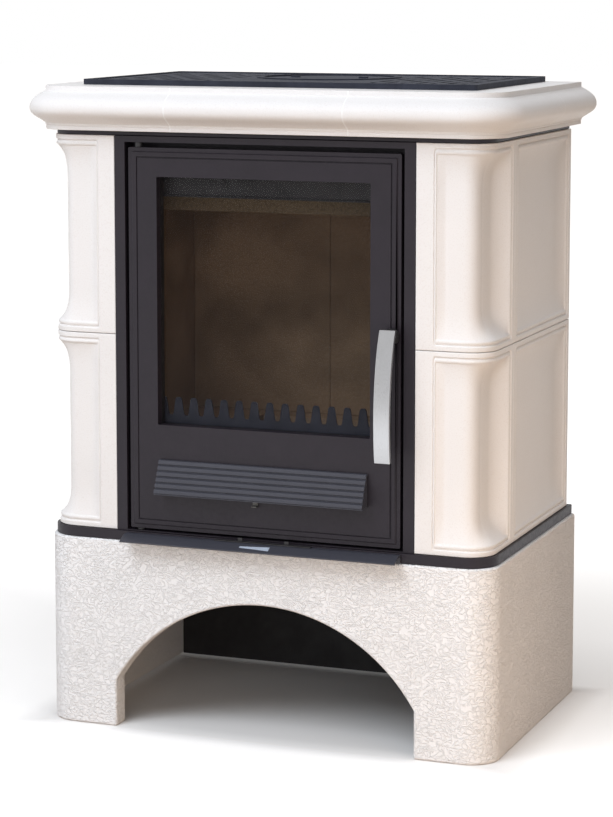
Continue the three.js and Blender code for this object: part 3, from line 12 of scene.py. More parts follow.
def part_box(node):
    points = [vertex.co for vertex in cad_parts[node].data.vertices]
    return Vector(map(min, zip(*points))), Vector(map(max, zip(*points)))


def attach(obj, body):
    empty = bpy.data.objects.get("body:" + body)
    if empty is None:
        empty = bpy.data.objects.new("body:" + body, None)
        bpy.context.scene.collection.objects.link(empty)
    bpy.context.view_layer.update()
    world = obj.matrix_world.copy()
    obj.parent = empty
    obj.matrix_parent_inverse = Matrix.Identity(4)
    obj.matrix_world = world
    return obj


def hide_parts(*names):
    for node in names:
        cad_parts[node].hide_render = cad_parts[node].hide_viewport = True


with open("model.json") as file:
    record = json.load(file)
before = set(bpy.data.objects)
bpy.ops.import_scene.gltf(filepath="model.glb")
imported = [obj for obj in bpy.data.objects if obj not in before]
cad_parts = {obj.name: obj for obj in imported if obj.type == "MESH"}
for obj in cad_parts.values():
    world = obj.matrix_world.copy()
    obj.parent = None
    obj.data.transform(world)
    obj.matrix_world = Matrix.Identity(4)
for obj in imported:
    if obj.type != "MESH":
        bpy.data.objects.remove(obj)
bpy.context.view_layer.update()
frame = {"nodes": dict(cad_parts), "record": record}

bl_info = {
    "name": "Tiled stove",
    "version": (1, 0, 0),
    "blender": (4, 5, 0),
    "location": "View3D > Sidebar > Stove",
    "description": "Builds the visible pieces of a tiled wood stove around its solids",
    "category": "Object",
}

# ---- What the frame says ---------------------------------------------
BODY_OF = {
    node: body
    for body, nodes in frame["record"]["behaviour"]["bodies"].items()
    for node in nodes
}
SLOT_OF = {part["node"]: part["material_slot"] for part in frame["record"]["subparts"]}

FRONT_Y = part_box("plinth")[0].y  # plane of the plinth's front
TILE_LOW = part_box("corner_tile_lower_left")[0]
FACE_Y = TILE_LOW.y  # plane of the tiles, the surround and the door
TILE_HALF = -TILE_LOW.x  # half the width over the side tiles
CORNICE_LOW, CORNICE_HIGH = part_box("cornice_corner_left")

UP = Vector((0, 0, 1))


# ---- Sizes and colours that a user would change ----------------------
def length(name, about, default):
    return FloatProperty(
        name=name, description=about, default=default, unit="LENGTH", precision=5
    )


def count(name, about, default):
    return IntProperty(name=name, description=about, default=default, min=1)


def colour(name, about, default):
    return FloatVectorProperty(
        name=name, description=about, default=default, size=3, subtype="COLOR", min=0, max=1
    )


class StoveSizes(bpy.types.PropertyGroup):
    """Sizes of the mouldings and of the softened edges."""

    corner_radius: length("Tile corner radius", "Radius of the tiled corner", 0.046)
    shaft_depth: length("Shaft depth", "Depth of a corner tile's shaft round its turn", 0.026)
    front_shaft_depth: length("Front shaft depth", "Its depth where it begins in front", 0.0085)
    field_depth: length("Field depth", "Depth of a side tile's sunk field", 0.012)
    front_cove: length("Front cove", "Width of the shaft's cove in front", 0.016)
    flare_height: length("Flare height", "Height of the flare above the lower rim", 0.050)
    cove_height: length("Cove height", "Height of the cove below the upper rim", 0.063)
    front_border: length("Front border", "Plain border beside the surround", 0.0295)
    side_cove: length("Side cove", "Width of the upright coves on the side", 0.034)
    corner_steps: count("Corner steps", "Facets round a tiled corner", 22)
    nose_out: length("Cornice overhang", "How far the cornice stands out", 0.0435)
    glaze_edge: length("Glazed edge", "Rounding of a glazed edge", 0.0012)
    casting_edge: length("Casting edge", "Rounding of a cast or painted edge", 0.0007)
    brick_edge: length("Brick edge", "Rounding of a fireclay edge", 0.002)
    plinth_edge: length("Plinth edge", "Rounding of the plinth's edges", 0.004)
    louvre_ribs: count("Louvre ribs", "Ribs of the louvre on the door", 6)
    handle_thickness: length("Handle thickness", "Thickness of the handle's bar", 0.008)
    handle_edge: length("Handle edge", "Rounding of the handle's edges", 0.0011)


class StoveColours(bpy.types.PropertyGroup):
    """Colours of the finishes, as linear values."""

    glaze: colour("Glaze", "Glaze on tiles and cornice", (0.86, 0.84, 0.83))
    glaze_speck: colour("Glaze speck", "Fine specks under the glaze", (0.55, 0.45, 0.40))
    plaster: colour("Plaster", "Textured plaster of the plinth", (0.95, 0.95, 0.96))
    paint: colour("Black paint", "Stove paint on steel and castings", (0.014, 0.011, 0.015))
    iron: colour("Cast iron", "Cast top plate", (0.025, 0.027, 0.037))
    steel: colour("Steel", "Brushed stainless steel", (0.48, 0.48, 0.49))
    dull_steel: colour("Dull steel", "Slider under the louvre", (0.11, 0.105, 0.10))
    # Painted light: a lighter, bluer copy of the black paint, for the sill and the louvre.
    paint_painted_light: colour("Satin paint", "Paint of the sill and the louvre", (0.045, 0.046, 0.058))
    enamel: colour("Enamel", "Pale enamel of the mark on the sill", (0.46, 0.52, 0.62))
    sheet: colour("Sheet", "Black steel of the body and the pins", (0.02, 0.019, 0.02))
    fireclay: colour("Fireclay", "Bricks of the firebox", (0.40, 0.27, 0.17))
    soot: colour("Soot", "Soot on the bricks", (0.05, 0.036, 0.024))
    board: colour("Board", "Board above the fire", (0.25, 0.19, 0.12))
    glass: colour("Glass", "Dark tint of the window", (0.012, 0.010, 0.012))
    rope: colour("Rope", "Rope seal", (0.06, 0.06, 0.06))
    grout: colour("Grout", "Grout in the joints of the cornice", (0.96, 0.96, 0.96))


def sizes():
    return bpy.context.scene.stove_sizes


def colours():
    return bpy.context.scene.stove_colours


# ---- Materials -------------------------------------------------------
# A noise runs from 0 to 1, but nearly all of its values lie between these two.
MIDDLE = (0.3, 0.7)
CLOUDS = (0.35, 0.7)  # the same for clouds with clear patches between them
RIDGES = (0.435, 0.565)  # values of a noise between which the plaster rises and falls once


def maths(tree, operation, first, second=0.0):
    """One calculation on a value of a node tree."""
    node = tree.nodes.new("ShaderNodeMath")
    node.operation = operation
    tree.links.new(first, node.inputs[0])
    if isinstance(second, bpy.types.NodeSocket):
        tree.links.new(second, node.inputs[1])
    else:
        node.inputs[1].default_value = second
    return node.outputs[0]


class Finish:
    """A material under construction, with short ways to add the nodes that it needs."""

    def __init__(self, name, base, roughness, metallic=0.0):
        self.material = bpy.data.materials.new(name)
        self.material.use_nodes = True
        self.tree = self.material.node_tree
        self.shader = self.tree.nodes["Principled BSDF"]
        self.base = tuple(base)
        self.set("Base Color", (*self.base, 1))
        self.set("Roughness", roughness)
        self.set("Metallic", metallic)
        self.place = self.tree.nodes.new("ShaderNodeTexCoord").outputs["Object"]

    def set(self, socket, value):
        self.shader.inputs[socket].default_value = value

    def link(self, output, socket):
        self.tree.links.new(output, self.shader.inputs[socket])

    def node(self, kind, inputs):
        made = self.tree.nodes.new(kind)
        for key, value in inputs.items():
            if isinstance(value, bpy.types.NodeSocket):
                self.tree.links.new(value, made.inputs[key])
            else:
                made.inputs[key].default_value = value
        return made

    def shade(self, share):
        """The base colour times a share."""
        return tuple(channel * share for channel in self.base)

    def stretched(self, scale):
        """Object coordinates with a scale of their own along each axis."""
        return self.node("ShaderNodeMapping", {"Vector": self.place, "Scale": scale}).outputs[0]

    def noise(self, scale, detail=2.0, roughness=0.5, distortion=0.0, place=None):
        """Noise with about that many swellings to the metre."""
        inputs = {
            "Vector": place or self.place,
            "Scale": scale,
            "Detail": detail,
            "Roughness": roughness,
            "Distortion": distortion,
        }
        return self.node("ShaderNodeTexNoise", inputs).outputs[0]

    def spread(self, value, low, high, to_low=0.0, to_high=1.0):
        """Maps low..high of a value to a new range, clamped."""
        inputs = {0: value, 1: low, 2: high, 3: to_low, 4: to_high}
        return self.node("ShaderNodeMapRange", inputs).outputs[0]

    def blend(self, share, first, second):
        """A colour between two, by a share from 0 to 1."""
        made = self.tree.nodes.new("ShaderNodeMix")
        made.data_type = "RGBA"
        for index, value in ((0, share), (6, first), (7, second)):
            if isinstance(value, bpy.types.NodeSocket):
                self.tree.links.new(value, made.inputs[index])
            else:
                made.inputs[index].default_value = (*value, 1)
        return made.outputs[2]

    def bump(self, shape, height, strength, under=None):
        """Relief with a height in metres, on top of a finer one if there is one."""
        inputs = {"Height": shape, "Distance": height, "Strength": strength}
        if under is not None:
            inputs["Normal"] = under
        return self.node("ShaderNodeBump", inputs).outputs[0]

    def tint(self, share, first, second):
        """Colours the surface between two colours, by a share from 0 to 1."""
        self.link(self.blend(share, first, second), "Base Color")

    def mottle(self, share, shade):
        """Colours the surface between its base colour and a shade of it."""
        self.tint(share, self.base, self.shade(shade))

    def roughen(self, noise, low, high):
        """Varies the roughness between two values."""
        self.link(self.spread(noise, *MIDDLE, low, high), "Roughness")

    def relief(self, shape, height, strength, under=None):
        """Gives the surface a relief, as bump does."""
        self.link(self.bump(shape, height, strength, under), "Normal")


def glaze_finish():
    """Off-white glaze over a pale body: faint clouds, fine specks and a soft gloss."""
    made = Finish("soft_white_glaze", colours().glaze, 0.36)
    made.set("Specular IOR Level", 0.22)
    made.set("Coat Weight", 0.05)
    made.set("Coat Roughness", 0.22)
    clouds = made.spread(made.noise(6, 3), *CLOUDS)
    clouded = made.blend(clouds, made.base, made.shade(0.97))
    specks = made.spread(made.noise(520), 0.52, 0.72, 0, 0.16)
    made.tint(specks, clouded, tuple(colours().glaze_speck))
    made.roughen(made.noise(90), 0.38, 0.45)
    made.relief(made.noise(380, 3), 0.00014, 0.7)
    return made.material


def plaster_finish():
    """White plaster with a relief of short curled ridges, left by the roller, with painted shade
    in the low parts of the ridges.
    """
    made = Finish("textured_plaster", colours().plaster, 0.85)
    curl = made.noise(120, 2.0, 0.42, 0.7, place=made.stretched((1, 1, 1.4)))
    wave = maths(made.tree, "MULTIPLY", made.spread(curl, *RIDGES), math.pi)
    ridge = maths(made.tree, "SINE", wave)
    grain = made.bump(made.noise(900), 0.00025, 0.5)
    made.relief(ridge, 0.0011, 0.9, grain)
    # Painted shade: the low parts of the ridges are tinted towards a darker plaster colour.
    painted_ridge_shade = made.spread(ridge, 0.0, 0.6, 0.03, 0.0)
    clouds = made.spread(made.noise(14), *MIDDLE)
    clouded = made.blend(clouds, made.base, made.shade(0.965))
    made.tint(painted_ridge_shade, clouded, made.shade(0.7))
    return made.material


def paint_finish():
    """Matt black stove paint with the fine grain of the casting or sheet under it."""
    made = Finish("black_stove_paint", colours().paint, 0.46)
    made.set("Specular IOR Level", 0.3)
    clouds = made.spread(made.noise(22, 3), *MIDDLE)
    made.mottle(clouds, 1.25)
    made.roughen(made.noise(160, 3), 0.41, 0.54)
    grain = made.bump(made.noise(1500), 0.00016, 0.7)
    made.relief(made.noise(60), 0.00025, 0.35, grain)
    return made.material


def painted_light_paint_finish():
    """Satin black paint of the sill and the louvre, smoother than on the castings, with painted
    light making it lighter and bluer.
    """
    made = Finish("grey_paint_with_painted_light", colours().paint_painted_light, 0.38)
    made.set("Specular IOR Level", 0.35)
    made.mottle(made.noise(24, 3), 1.2)
    made.roughen(made.noise(180, 3), 0.34, 0.44)
    made.relief(made.noise(1300), 0.00008, 0.6)
    return made.material


def iron_finish():
    """Grey cast iron with the coarse grain of the sand mould."""
    made = Finish("cast_iron_grey", colours().iron, 0.55)
    made.set("Specular IOR Level", 0.2)
    clouds = made.spread(made.noise(30, 4), *MIDDLE)
    made.mottle(clouds, 1.5)
    made.roughen(made.noise(220, 3), 0.62, 0.8)
    grain = made.bump(made.noise(1100, 3), 0.0003, 0.8)
    made.relief(made.noise(90), 0.0005, 0.4, grain)
    return made.material


def brushed_finish():
    """Stainless steel brushed along its length."""
    made = Finish("brushed_steel_bar", colours().steel, 0.3, 1.0)
    made.set("Anisotropic", 0.35)
    lines = made.noise(1, 3, 0.6, place=made.stretched((2600, 2600, 22)))
    made.tint(made.spread(lines, *MIDDLE), made.shade(0.82), made.base)
    made.roughen(lines, 0.24, 0.42)
    made.relief(lines, 0.00005, 0.6)
    return made.material


def dull_finish():
    """Steel gone dull with heat, with fine lines along it."""
    made = Finish("dull_turned_steel", colours().dull_steel, 0.5, 0.7)
    lines = made.noise(1, 3, 0.6, place=made.stretched((60, 60, 1800)))
    made.tint(lines, made.shade(0.7), made.base)
    made.roughen(lines, 0.42, 0.58)
    made.relief(lines, 0.00004, 0.5)
    return made.material


def enamel_finish():
    """Pale blue-grey enamel with faint mottling."""
    made = Finish("pale_enamel", colours().enamel, 0.35)
    made.mottle(made.noise(300), 0.9)
    made.roughen(made.noise(500), 0.3, 0.4)
    made.relief(made.noise(900), 0.00006, 0.5)
    return made.material


def sheet_finish():
    """Black sheet steel, rolled and lightly scaled by heat."""
    made = Finish("black_sheet_steel", colours().sheet, 0.5, 0.3)
    scale = made.spread(made.noise(18, 4, 0.6), *CLOUDS)
    made.mottle(scale, 1.7)
    made.roughen(made.noise(70, 3), 0.42, 0.62)
    made.relief(made.noise(700), 0.0001, 0.5)
    return made.material


def fireclay_finish():
    """Fireclay brick, pitted and blackened in clouds by soot."""
    made = Finish("sooty_fireclay", colours().fireclay, 0.95)
    grains = made.spread(made.noise(260), *CLOUDS)
    clay = made.blend(grains, made.base, made.shade(0.7))
    soot = made.spread(made.noise(5, 3), 0.42, 0.75, 0.1, 0.85)
    made.tint(soot, clay, tuple(colours().soot))
    pits = made.bump(made.noise(420, 3), 0.0006, 0.7)
    made.relief(made.noise(40, 3), 0.0012, 0.4, pits)
    return made.material


def board_finish():
    """Pressed board of mica flakes."""
    made = Finish("pressed_flake_board", colours().board, 0.9)
    cells = made.node("ShaderNodeTexVoronoi", {"Vector": made.place, "Scale": 260.0})
    flakes = cells.outputs["Distance"]
    made.mottle(flakes, 0.5)
    made.relief(flakes, 0.0005, 0.6)
    return made.material


def glass_finish():
    """Dark glass with a faint haze, which shows the firebox dimly behind its gloss."""
    made = Finish("window_glass", colours().glass, 0.04)
    made.set("Alpha", 0.15)
    made.set("Specular IOR Level", 0.16)
    haze = made.spread(made.noise(6, 3), *CLOUDS, 0.03, 0.1)
    made.link(haze, "Roughness")
    return made.material


def rope_finish():
    """Rope of slanting strands."""
    made = Finish("braided_rope", colours().rope, 0.95)
    slant = {"Vector": made.place, "Rotation": (0, math.radians(45), 0)}
    slanted = made.node("ShaderNodeMapping", slant).outputs[0]
    waves = {"Vector": slanted, "Scale": 130.0, "Distortion": 1.5, "Detail": 2.0}
    strands = made.node("ShaderNodeTexWave", waves).outputs[0]
    made.tint(strands, made.shade(0.6), made.shade(1.5))
    made.relief(strands, 0.0008, 0.8)
    return made.material


def grout_finish():
    """Pale grout, slightly sandy."""
    made = Finish("pale_grout", colours().grout, 0.9)
    made.mottle(made.noise(300), 0.95)
    made.relief(made.noise(1200), 0.0001, 0.5)
    return made.material


FINISH_MAKERS = {
    "glaze": glaze_finish,
    "render": plaster_finish,
    "black_paint": paint_finish,
    "paint_with_painted_light": painted_light_paint_finish,
    "cast_iron": iron_finish,
    "bright_steel": brushed_finish,
    "dull_steel": dull_finish,
    "enamel": enamel_finish,
    "dark_steel": sheet_finish,
    "fireclay": fireclay_finish,
    "vermiculite": board_finish,
    "window_glass": glass_finish,
    "rope": rope_finish,
    "grout": grout_finish,
}
finishes = {}


def finish_for(slot):
    """The material of a slot, made once."""
    if slot not in finishes:
        finishes[slot] = FINISH_MAKERS[slot]()
    return finishes[slot]


# ---- Making and finishing pieces -------------------------------------
SMOOTH_ANGLE = math.radians(38)  # a smaller fold between faces is shaded smooth
SOFT_ANGLE = math.radians(32)  # a sharper edge than this is rounded
SQUARE_ANGLE = math.radians(50)  # the same where only square corners are rounded
WELD_DISTANCE = 2e-6
FLAT_ANGLE = math.radians(0.6)


def place_in_scene(name, data):
    """A new object in the scene, for a mesh, a lamp or a camera."""
    made = bpy.data.objects.new(name, data)
    bpy.context.scene.collection.objects.link(made)
    return made


def mesh_of(name, bm):
    """A mesh with a bmesh's content, which is then freed."""
    mesh = bpy.data.meshes.new(name)
    bm.to_mesh(mesh)
    bm.free()
    return mesh


def finished(name, bm, body, slot, replaced=(), look=None, outward=True):
    """Turns a bmesh into a piece that rides on a body and stands for CAD nodes."""
    if outward:
        bmesh.ops.recalc_face_normals(bm, faces=bm.faces)
    mesh = mesh_of(name, bm)
    mesh.polygons.foreach_set("use_smooth", [True] * len(mesh.polygons))
    mesh.set_sharp_from_angle(angle=SMOOTH_ANGLE)
    mesh.materials.append(look or finish_for(slot))
    piece = place_in_scene(name, mesh)
    weighted = piece.modifiers.new("weighted_normals", "WEIGHTED_NORMAL")
    weighted.keep_sharp = True
    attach(piece, body)
    if replaced:
        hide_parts(*replaced)


def merged_copy(node):
    """A bmesh of a CAD node with its loose triangles joined and its flat faces whole."""
    bm = bmesh.new()
    bm.from_mesh(frame["nodes"][node].data)
    bmesh.ops.remove_doubles(bm, verts=bm.verts, dist=WELD_DISTANCE)
    bmesh.ops.dissolve_limit(bm, angle_limit=FLAT_ANGLE, verts=bm.verts, edges=bm.edges)
    return bm


def round_edges(bm, edges, width, segments=2, clamp=True):
    """Rounds edges of a bmesh; a clamped rounding never reaches past its neighbours."""
    bmesh.ops.bevel(
        bm,
        geom=edges,
        offset=width,
        offset_type="OFFSET",
        segments=segments,
        profile=0.5,
        affect="EDGES",
        clamp_overlap=clamp,
        material=-1,
    )


def soften(bm, width, segments=2, angle=SOFT_ANGLE):
    """Rounds every edge that is sharper than an angle."""
    sharp = [e for e in bm.edges if e.is_manifold and e.calc_face_angle(0) > angle]
    round_edges(bm, sharp, width, segments)


def soften_nodes(nodes, width, segments=2, look=None, angle=SOFT_ANGLE):
    """Copies CAD nodes with softened edges, each as a piece that stands for its node."""
    for node in nodes:
        bm = merged_copy(node)
        soften(bm, width, segments, angle)
        name, body, slot = node + "_finished", BODY_OF[node], SLOT_OF[node]
        finished(name, bm, body, slot, [node], look, outward=False)


def add_face(bm, corners):
    return bm.faces.new([bm.verts.new(corner) for corner in corners])


def extrude(bm, face, move):
    """Draws one face out by a vector and returns the new end face."""
    made = bmesh.ops.extrude_face_region(bm, geom=[face])["geom"]
    verts = [item for item in made if isinstance(item, bmesh.types.BMVert)]
    bmesh.ops.translate(bm, verts=verts, vec=move)
    return next(item for item in made if isinstance(item, bmesh.types.BMFace))


def add_bar(bm, outline, x0, x1):
    """Adds a bar along x with an outline of (y, z) points."""
    face = add_face(bm, [(x0, y, z) for y, z in outline])
    extrude(bm, face, Vector((x1 - x0, 0, 0)))


def turn_corner(bm, face, centre, angle, steps):
    """Spins an end face about an upright axis and returns the new end face."""
    made = bmesh.ops.spin(
        bm,
        geom=[face, *face.edges, *face.verts],
        cent=centre,
        axis=UP,
        angle=angle,
        steps=steps,
        use_merge=False,
    )["geom_last"]
    return next(item for item in made if isinstance(item, bmesh.types.BMFace))


def mirror_to_right(bm):
    """Mirrors a piece of the left side across the middle of the stove."""
    bmesh.ops.scale(bm, verts=bm.verts, vec=(-1, 1, 1))
    bmesh.ops.reverse_faces(bm, faces=bm.faces)


def add_box(bm, x0, x1, y0, y1, z0, z1):
    """Adds a box between two corners."""
    middle = Matrix.Translation(((x0 + x1) / 2, (y0 + y1) / 2, (z0 + z1) / 2))
    stretch = Matrix.Diagonal((x1 - x0, y1 - y0, z1 - z0, 1))
    bmesh.ops.create_cube(bm, size=1, matrix=middle @ stretch)


def along(points, distance):
    """The value at a distance on a broken line of (distance, value) points."""
    for (d0, v0), (d1, v1) in zip(points, points[1:]):
        if distance <= d1:
            return v0 + (v1 - v0) * max(distance - d0, 0) / (d1 - d0)
    return points[-1][1]


# ---- Tiles -----------------------------------------------------------
# Each line of points gives depths below the face against distances, both in metres.
GLAZED_ARRIS = ((0.0, 0.0016), (0.0005, 0.0006), (0.0016, 0.0))
# Inwards from the edge of the sunk panel: a narrow quirk, then a small roll.
MOULDING = (
    (0.0, 0.0),
    (0.0010, 0.0012),
    (0.0023, 0.0034),
    (0.0037, 0.0022),
    (0.0055, 0.0009),
    (0.0078, 0.0006),
    (0.0096, 0.0015),
    (0.0110, 0.0034),
)
MOULDING_WIDTH, MOULDING_DEPTH = MOULDING[-1]
RIM_WIDTH = 0.0075  # flat rim between the tile's upper or lower edge and the moulding
SIDE_RIM = 0.011  # the same beside an upright edge on the side of the stove
MITRE_RADIUS = 0.009  # of the moulding's corners
FINE_SHARE = 0.6  # the upright moulding beside the surround is this much finer
FINE_NARROWING = 2.2  # and this many times narrower
FINE_FADE = 0.012  # beyond it, over which the shaft finds its own depth
COVE_STEPS = 10
COVE_CROWDING = 1.5  # power that draws a cove's edges together where it is steepest
HOLLOW_SPACING = 0.022  # between two edges on the floor of a shaft
CORNER_TILE_CORE = 0.01  # radius left inside the turn of a corner tile
# How steeply each hollow begins; a higher power reaches its floor sooner.
FLARE_POWER = 2.3
COVE_POWER = 3.2
SIDE_COVE_POWER = 2.4
FRONT_COVE_POWER = 2.0
SHAFT_SLOPE_POWER = 2.3  # how late the shaft of a corner tile deepens towards the turn
SHAFT_FULL_AT = 0.85  # share of the turn at which it has its full depth
SHAFT_STEPS = 6  # across the flat part of a corner tile's shaft


def hollow(distance, width, power):
    """Share of a cove's depth: steep at its edge, easing into the floor of the shaft."""
    share = min(max(distance / width, 0), 1)
    return 1 - (1 - share) ** power


def inside_corner(across, up):
    """Distance inwards from an edge that turns a corner with a small radius."""
    if across < MITRE_RADIUS and up < MITRE_RADIUS:
        return MITRE_RADIUS - math.hypot(MITRE_RADIUS - across, MITRE_RADIUS - up)
    return min(across, up)


def cove_stops(start, width):
    """Distances at which a cove gets an edge, closest where it is steepest."""
    shares = [(step / COVE_STEPS) ** COVE_CROWDING for step in range(1, COVE_STEPS + 1)]
    return [start + width * share for share in shares]


def edge_stops(border):
    """Distances at which a tile's edge, its flat border and its moulding get an edge."""
    return [d for d, _ in GLAZED_ARRIS] + [border + d for d, _ in MOULDING]


def stops(span, near, far):
    """Distances across a tile: near ones from its start, far ones from its end, even between."""
    far = sorted(span - d for d in far)
    first, last = near[-1], far[0]
    inner = max(int((last - first) / HOLLOW_SPACING), 1)
    between = [first + (last - first) * i / inner for i in range(1, inner)]
    return [*near, *between, *far]


def tile_depth(edge, across, z, height, full, ends):
    """Depth at a point of a tile's face.

    edge is the distance to the nearest outer edge and across the one to the nearest upright
    moulding. ends is the share of the full depth that the upright coves leave.
    """
    if edge < GLAZED_ARRIS[-1][0]:
        return along(GLAZED_ARRIS, edge)
    up = min(z, height - z) - RIM_WIDTH
    inwards = inside_corner(across, up)
    if inwards <= 0:
        return 0.0
    if inwards < MOULDING_WIDTH:
        return along(MOULDING, inwards)
    flare = hollow(z - RIM_WIDTH - MOULDING_WIDTH, sizes().flare_height, FLARE_POWER)
    cove = hollow(height - z - RIM_WIDTH - MOULDING_WIDTH, sizes().cove_height, COVE_POWER)
    return MOULDING_DEPTH + (full - MOULDING_DEPTH) * flare * cove * ends


def moulded_slab(columns, rows, depth_at, place_at, thickness):
    """A slab over a grid of columns and rows: moulded on its face, plain behind."""
    bm = bmesh.new()
    across, up = len(columns) - 1, len(rows) - 1
    bmesh.ops.create_grid(bm, x_segments=across, y_segments=up, size=0.5)
    made = bmesh.ops.extrude_face_region(bm, geom=bm.faces[:])["geom"]
    behind = [item for item in made if isinstance(item, bmesh.types.BMVert)]
    bmesh.ops.translate(bm, verts=behind, vec=(0, 0, -1))
    for vert in bm.verts:
        s = columns[round((vert.co.x + 0.5) * across)]
        z = rows[round((vert.co.y + 0.5) * up)]
        depth = thickness if vert.co.z < -0.5 else depth_at(s, z)
        vert.co = place_at(s, z, depth)
    return bm


def tile_rows(height):
    """Heights at which a tile gets an edge, from its lower rim to its upper one."""
    inner = RIM_WIDTH + MOULDING_WIDTH
    near = edge_stops(RIM_WIDTH) + cove_stops(inner, sizes().flare_height)
    far = edge_stops(RIM_WIDTH) + cove_stops(inner, sizes().cove_height)
    return stops(height, near, far)


def side_stops():
    """Distances from an upright edge on the side of the stove at which a tile gets an edge."""
    return edge_stops(SIDE_RIM) + cove_stops(SIDE_RIM + MOULDING_WIDTH, sizes().side_cove)


def side_hollow(distance):
    """Share of the depth at a distance from a tile's upright edge on the side of the stove."""
    return hollow(distance - SIDE_RIM - MOULDING_WIDTH, sizes().side_cove, SIDE_COVE_POWER)


def corner_tile(node):
    """The tile that turns the left corner: a shallow shaft in front, a deep one on the side."""
    low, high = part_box(node)
    radius = sizes().corner_radius
    straight = high.x - (low.x + radius)
    turn = radius * math.pi / 2
    run = straight + turn + high.y - (low.y + radius)
    height = high.z - low.z
    centre = Vector((low.x + radius, low.y + radius, 0))
    border = sizes().front_border
    start = border + MOULDING_WIDTH / FINE_NARROWING
    deepest = straight + SHAFT_FULL_AT * turn

    def shaft_at(s):
        share = min(max((s - start) / (deepest - start), 0), 1) ** SHAFT_SLOPE_POWER
        ease = share * share * (3 - 2 * share)
        front = sizes().front_shaft_depth
        return front + (sizes().shaft_depth - front) * ease

    def depth_at(s, z):
        edge = min(s, run - s, z, height - z)
        across = min((s - border) * FINE_NARROWING, run - s - SIDE_RIM)
        ends = hollow(s - start, sizes().front_cove, FRONT_COVE_POWER) * side_hollow(run - s)
        depth = tile_depth(edge, across, z, height, shaft_at(s), ends)
        beside = s - border
        if edge > GLAZED_ARRIS[-1][0] and beside > 0:
            up = max(min(z, height - z) - RIM_WIDTH, 0)
            fade = min(max((start + FINE_FADE - s) / FINE_FADE, 0), 1)
            depth *= 1 - (1 - FINE_SHARE) * fade * up / (up + beside)
        return depth

    def place_at(s, z, depth):
        if s < straight:
            return Vector((high.x - s, low.y + depth, low.z + z))
        if s > straight + turn:
            y = low.y + radius + (s - straight - turn)
            return Vector((low.x + depth, y, low.z + z))
        angle = (s - straight) / radius
        out = Vector((-math.sin(angle), -math.cos(angle), 0))
        return centre + out * (radius - depth) + UP * (low.z + z)

    near = [d for d, _ in GLAZED_ARRIS] + [border + d / FINE_NARROWING for d, _ in MOULDING]
    cove = sizes().front_cove
    near += cove_stops(start, cove)
    flat = straight - start - cove
    near += [start + cove + flat * i / SHAFT_STEPS for i in range(1, SHAFT_STEPS)]
    steps = sizes().corner_steps
    near += [straight + turn * i / steps for i in range(steps + 1)]
    columns = stops(run, near, side_stops())
    thickness = radius - CORNER_TILE_CORE
    return moulded_slab(columns, tile_rows(height), depth_at, place_at, thickness)


def side_tile(node):
    """The flat tile on the left side, with a sunk field inside a moulded border."""
    low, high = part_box(node)
    run = high.y - low.y
    height = high.z - low.z

    def depth_at(s, z):
        edge = min(s, run - s, z, height - z)
        across = min(s, run - s) - SIDE_RIM
        ends = side_hollow(s) * side_hollow(run - s)
        return tile_depth(edge, across, z, height, sizes().field_depth, ends)

    def place_at(s, z, depth):
        return Vector((low.x + depth, low.y + s, low.z + z))

    columns = stops(run, side_stops(), side_stops())
    return moulded_slab(columns, tile_rows(height), depth_at, place_at, high.x - low.x)


class STOVE_OT_tiles(bpy.types.Operator):
    """Moulded corner and side tiles, in two rows on both sides."""

    bl_idname = "stove.tiles"
    bl_label = "Tiles"

    def execute(self, context):
        for kind, make in (("corner_tile", corner_tile), ("side_tile", side_tile)):
            for row in ("lower", "upper"):
                for side in ("left", "right"):
                    bm = make(f"{kind}_{row}_left")
                    if side == "right":
                        mirror_to_right(bm)
                    node = f"{kind}_{row}_{side}"
                    finished(node + "_glazed", bm, "stove", "glaze", [node])
        return {"FINISHED"}


# ---- Cornice ---------------------------------------------------------
NOSE_STEPS = 12
TURN_STEPS = 28  # facets of the cornice round its corner
SECTION_CORNERS = 6  # a face with more corners than this is an end of a length
END_ANGLE = math.radians(40)
CORNICE_ANGLE = math.radians(60)  # a sharper edge of a straight length is rounded


def bezier(p0, p1, p2, p3, steps):
    """Points of a cubic curve after its first one."""
    points = []
    for step in range(1, steps + 1):
        t = step / steps
        u = 1 - t
        weights = (u**3, 3 * u * u * t, 3 * u * t * t, t**3)
        corners = zip(p0, p1, p2, p3)
        points.append(tuple(sum(map(mul, weights, values)) for values in corners))
    return points


CORNICE_LIP = 0.0163  # plain lip at the foot, beyond the tile face
CORNICE_LIP_TOP = 0.0065
CORNICE_FILLET = 0.0040  # height of the second, smaller lip above it
CORNICE_ARRIS = 0.0013
CORNICE_NOSE = 0.0365  # level at which the bullnose stands out most
CORNICE_STEP = 0.0085  # from the bullnose up to the flat top
CORNICE_BODY = 0.030  # how far the body reaches in behind the tile face
FLANGE_THICKNESS = 0.018
SWEPT_REACH = 0.044  # of the flange behind the tile face, where it is swept round the corner
FLANGE_REACH = 0.058  # and along the straight lengths


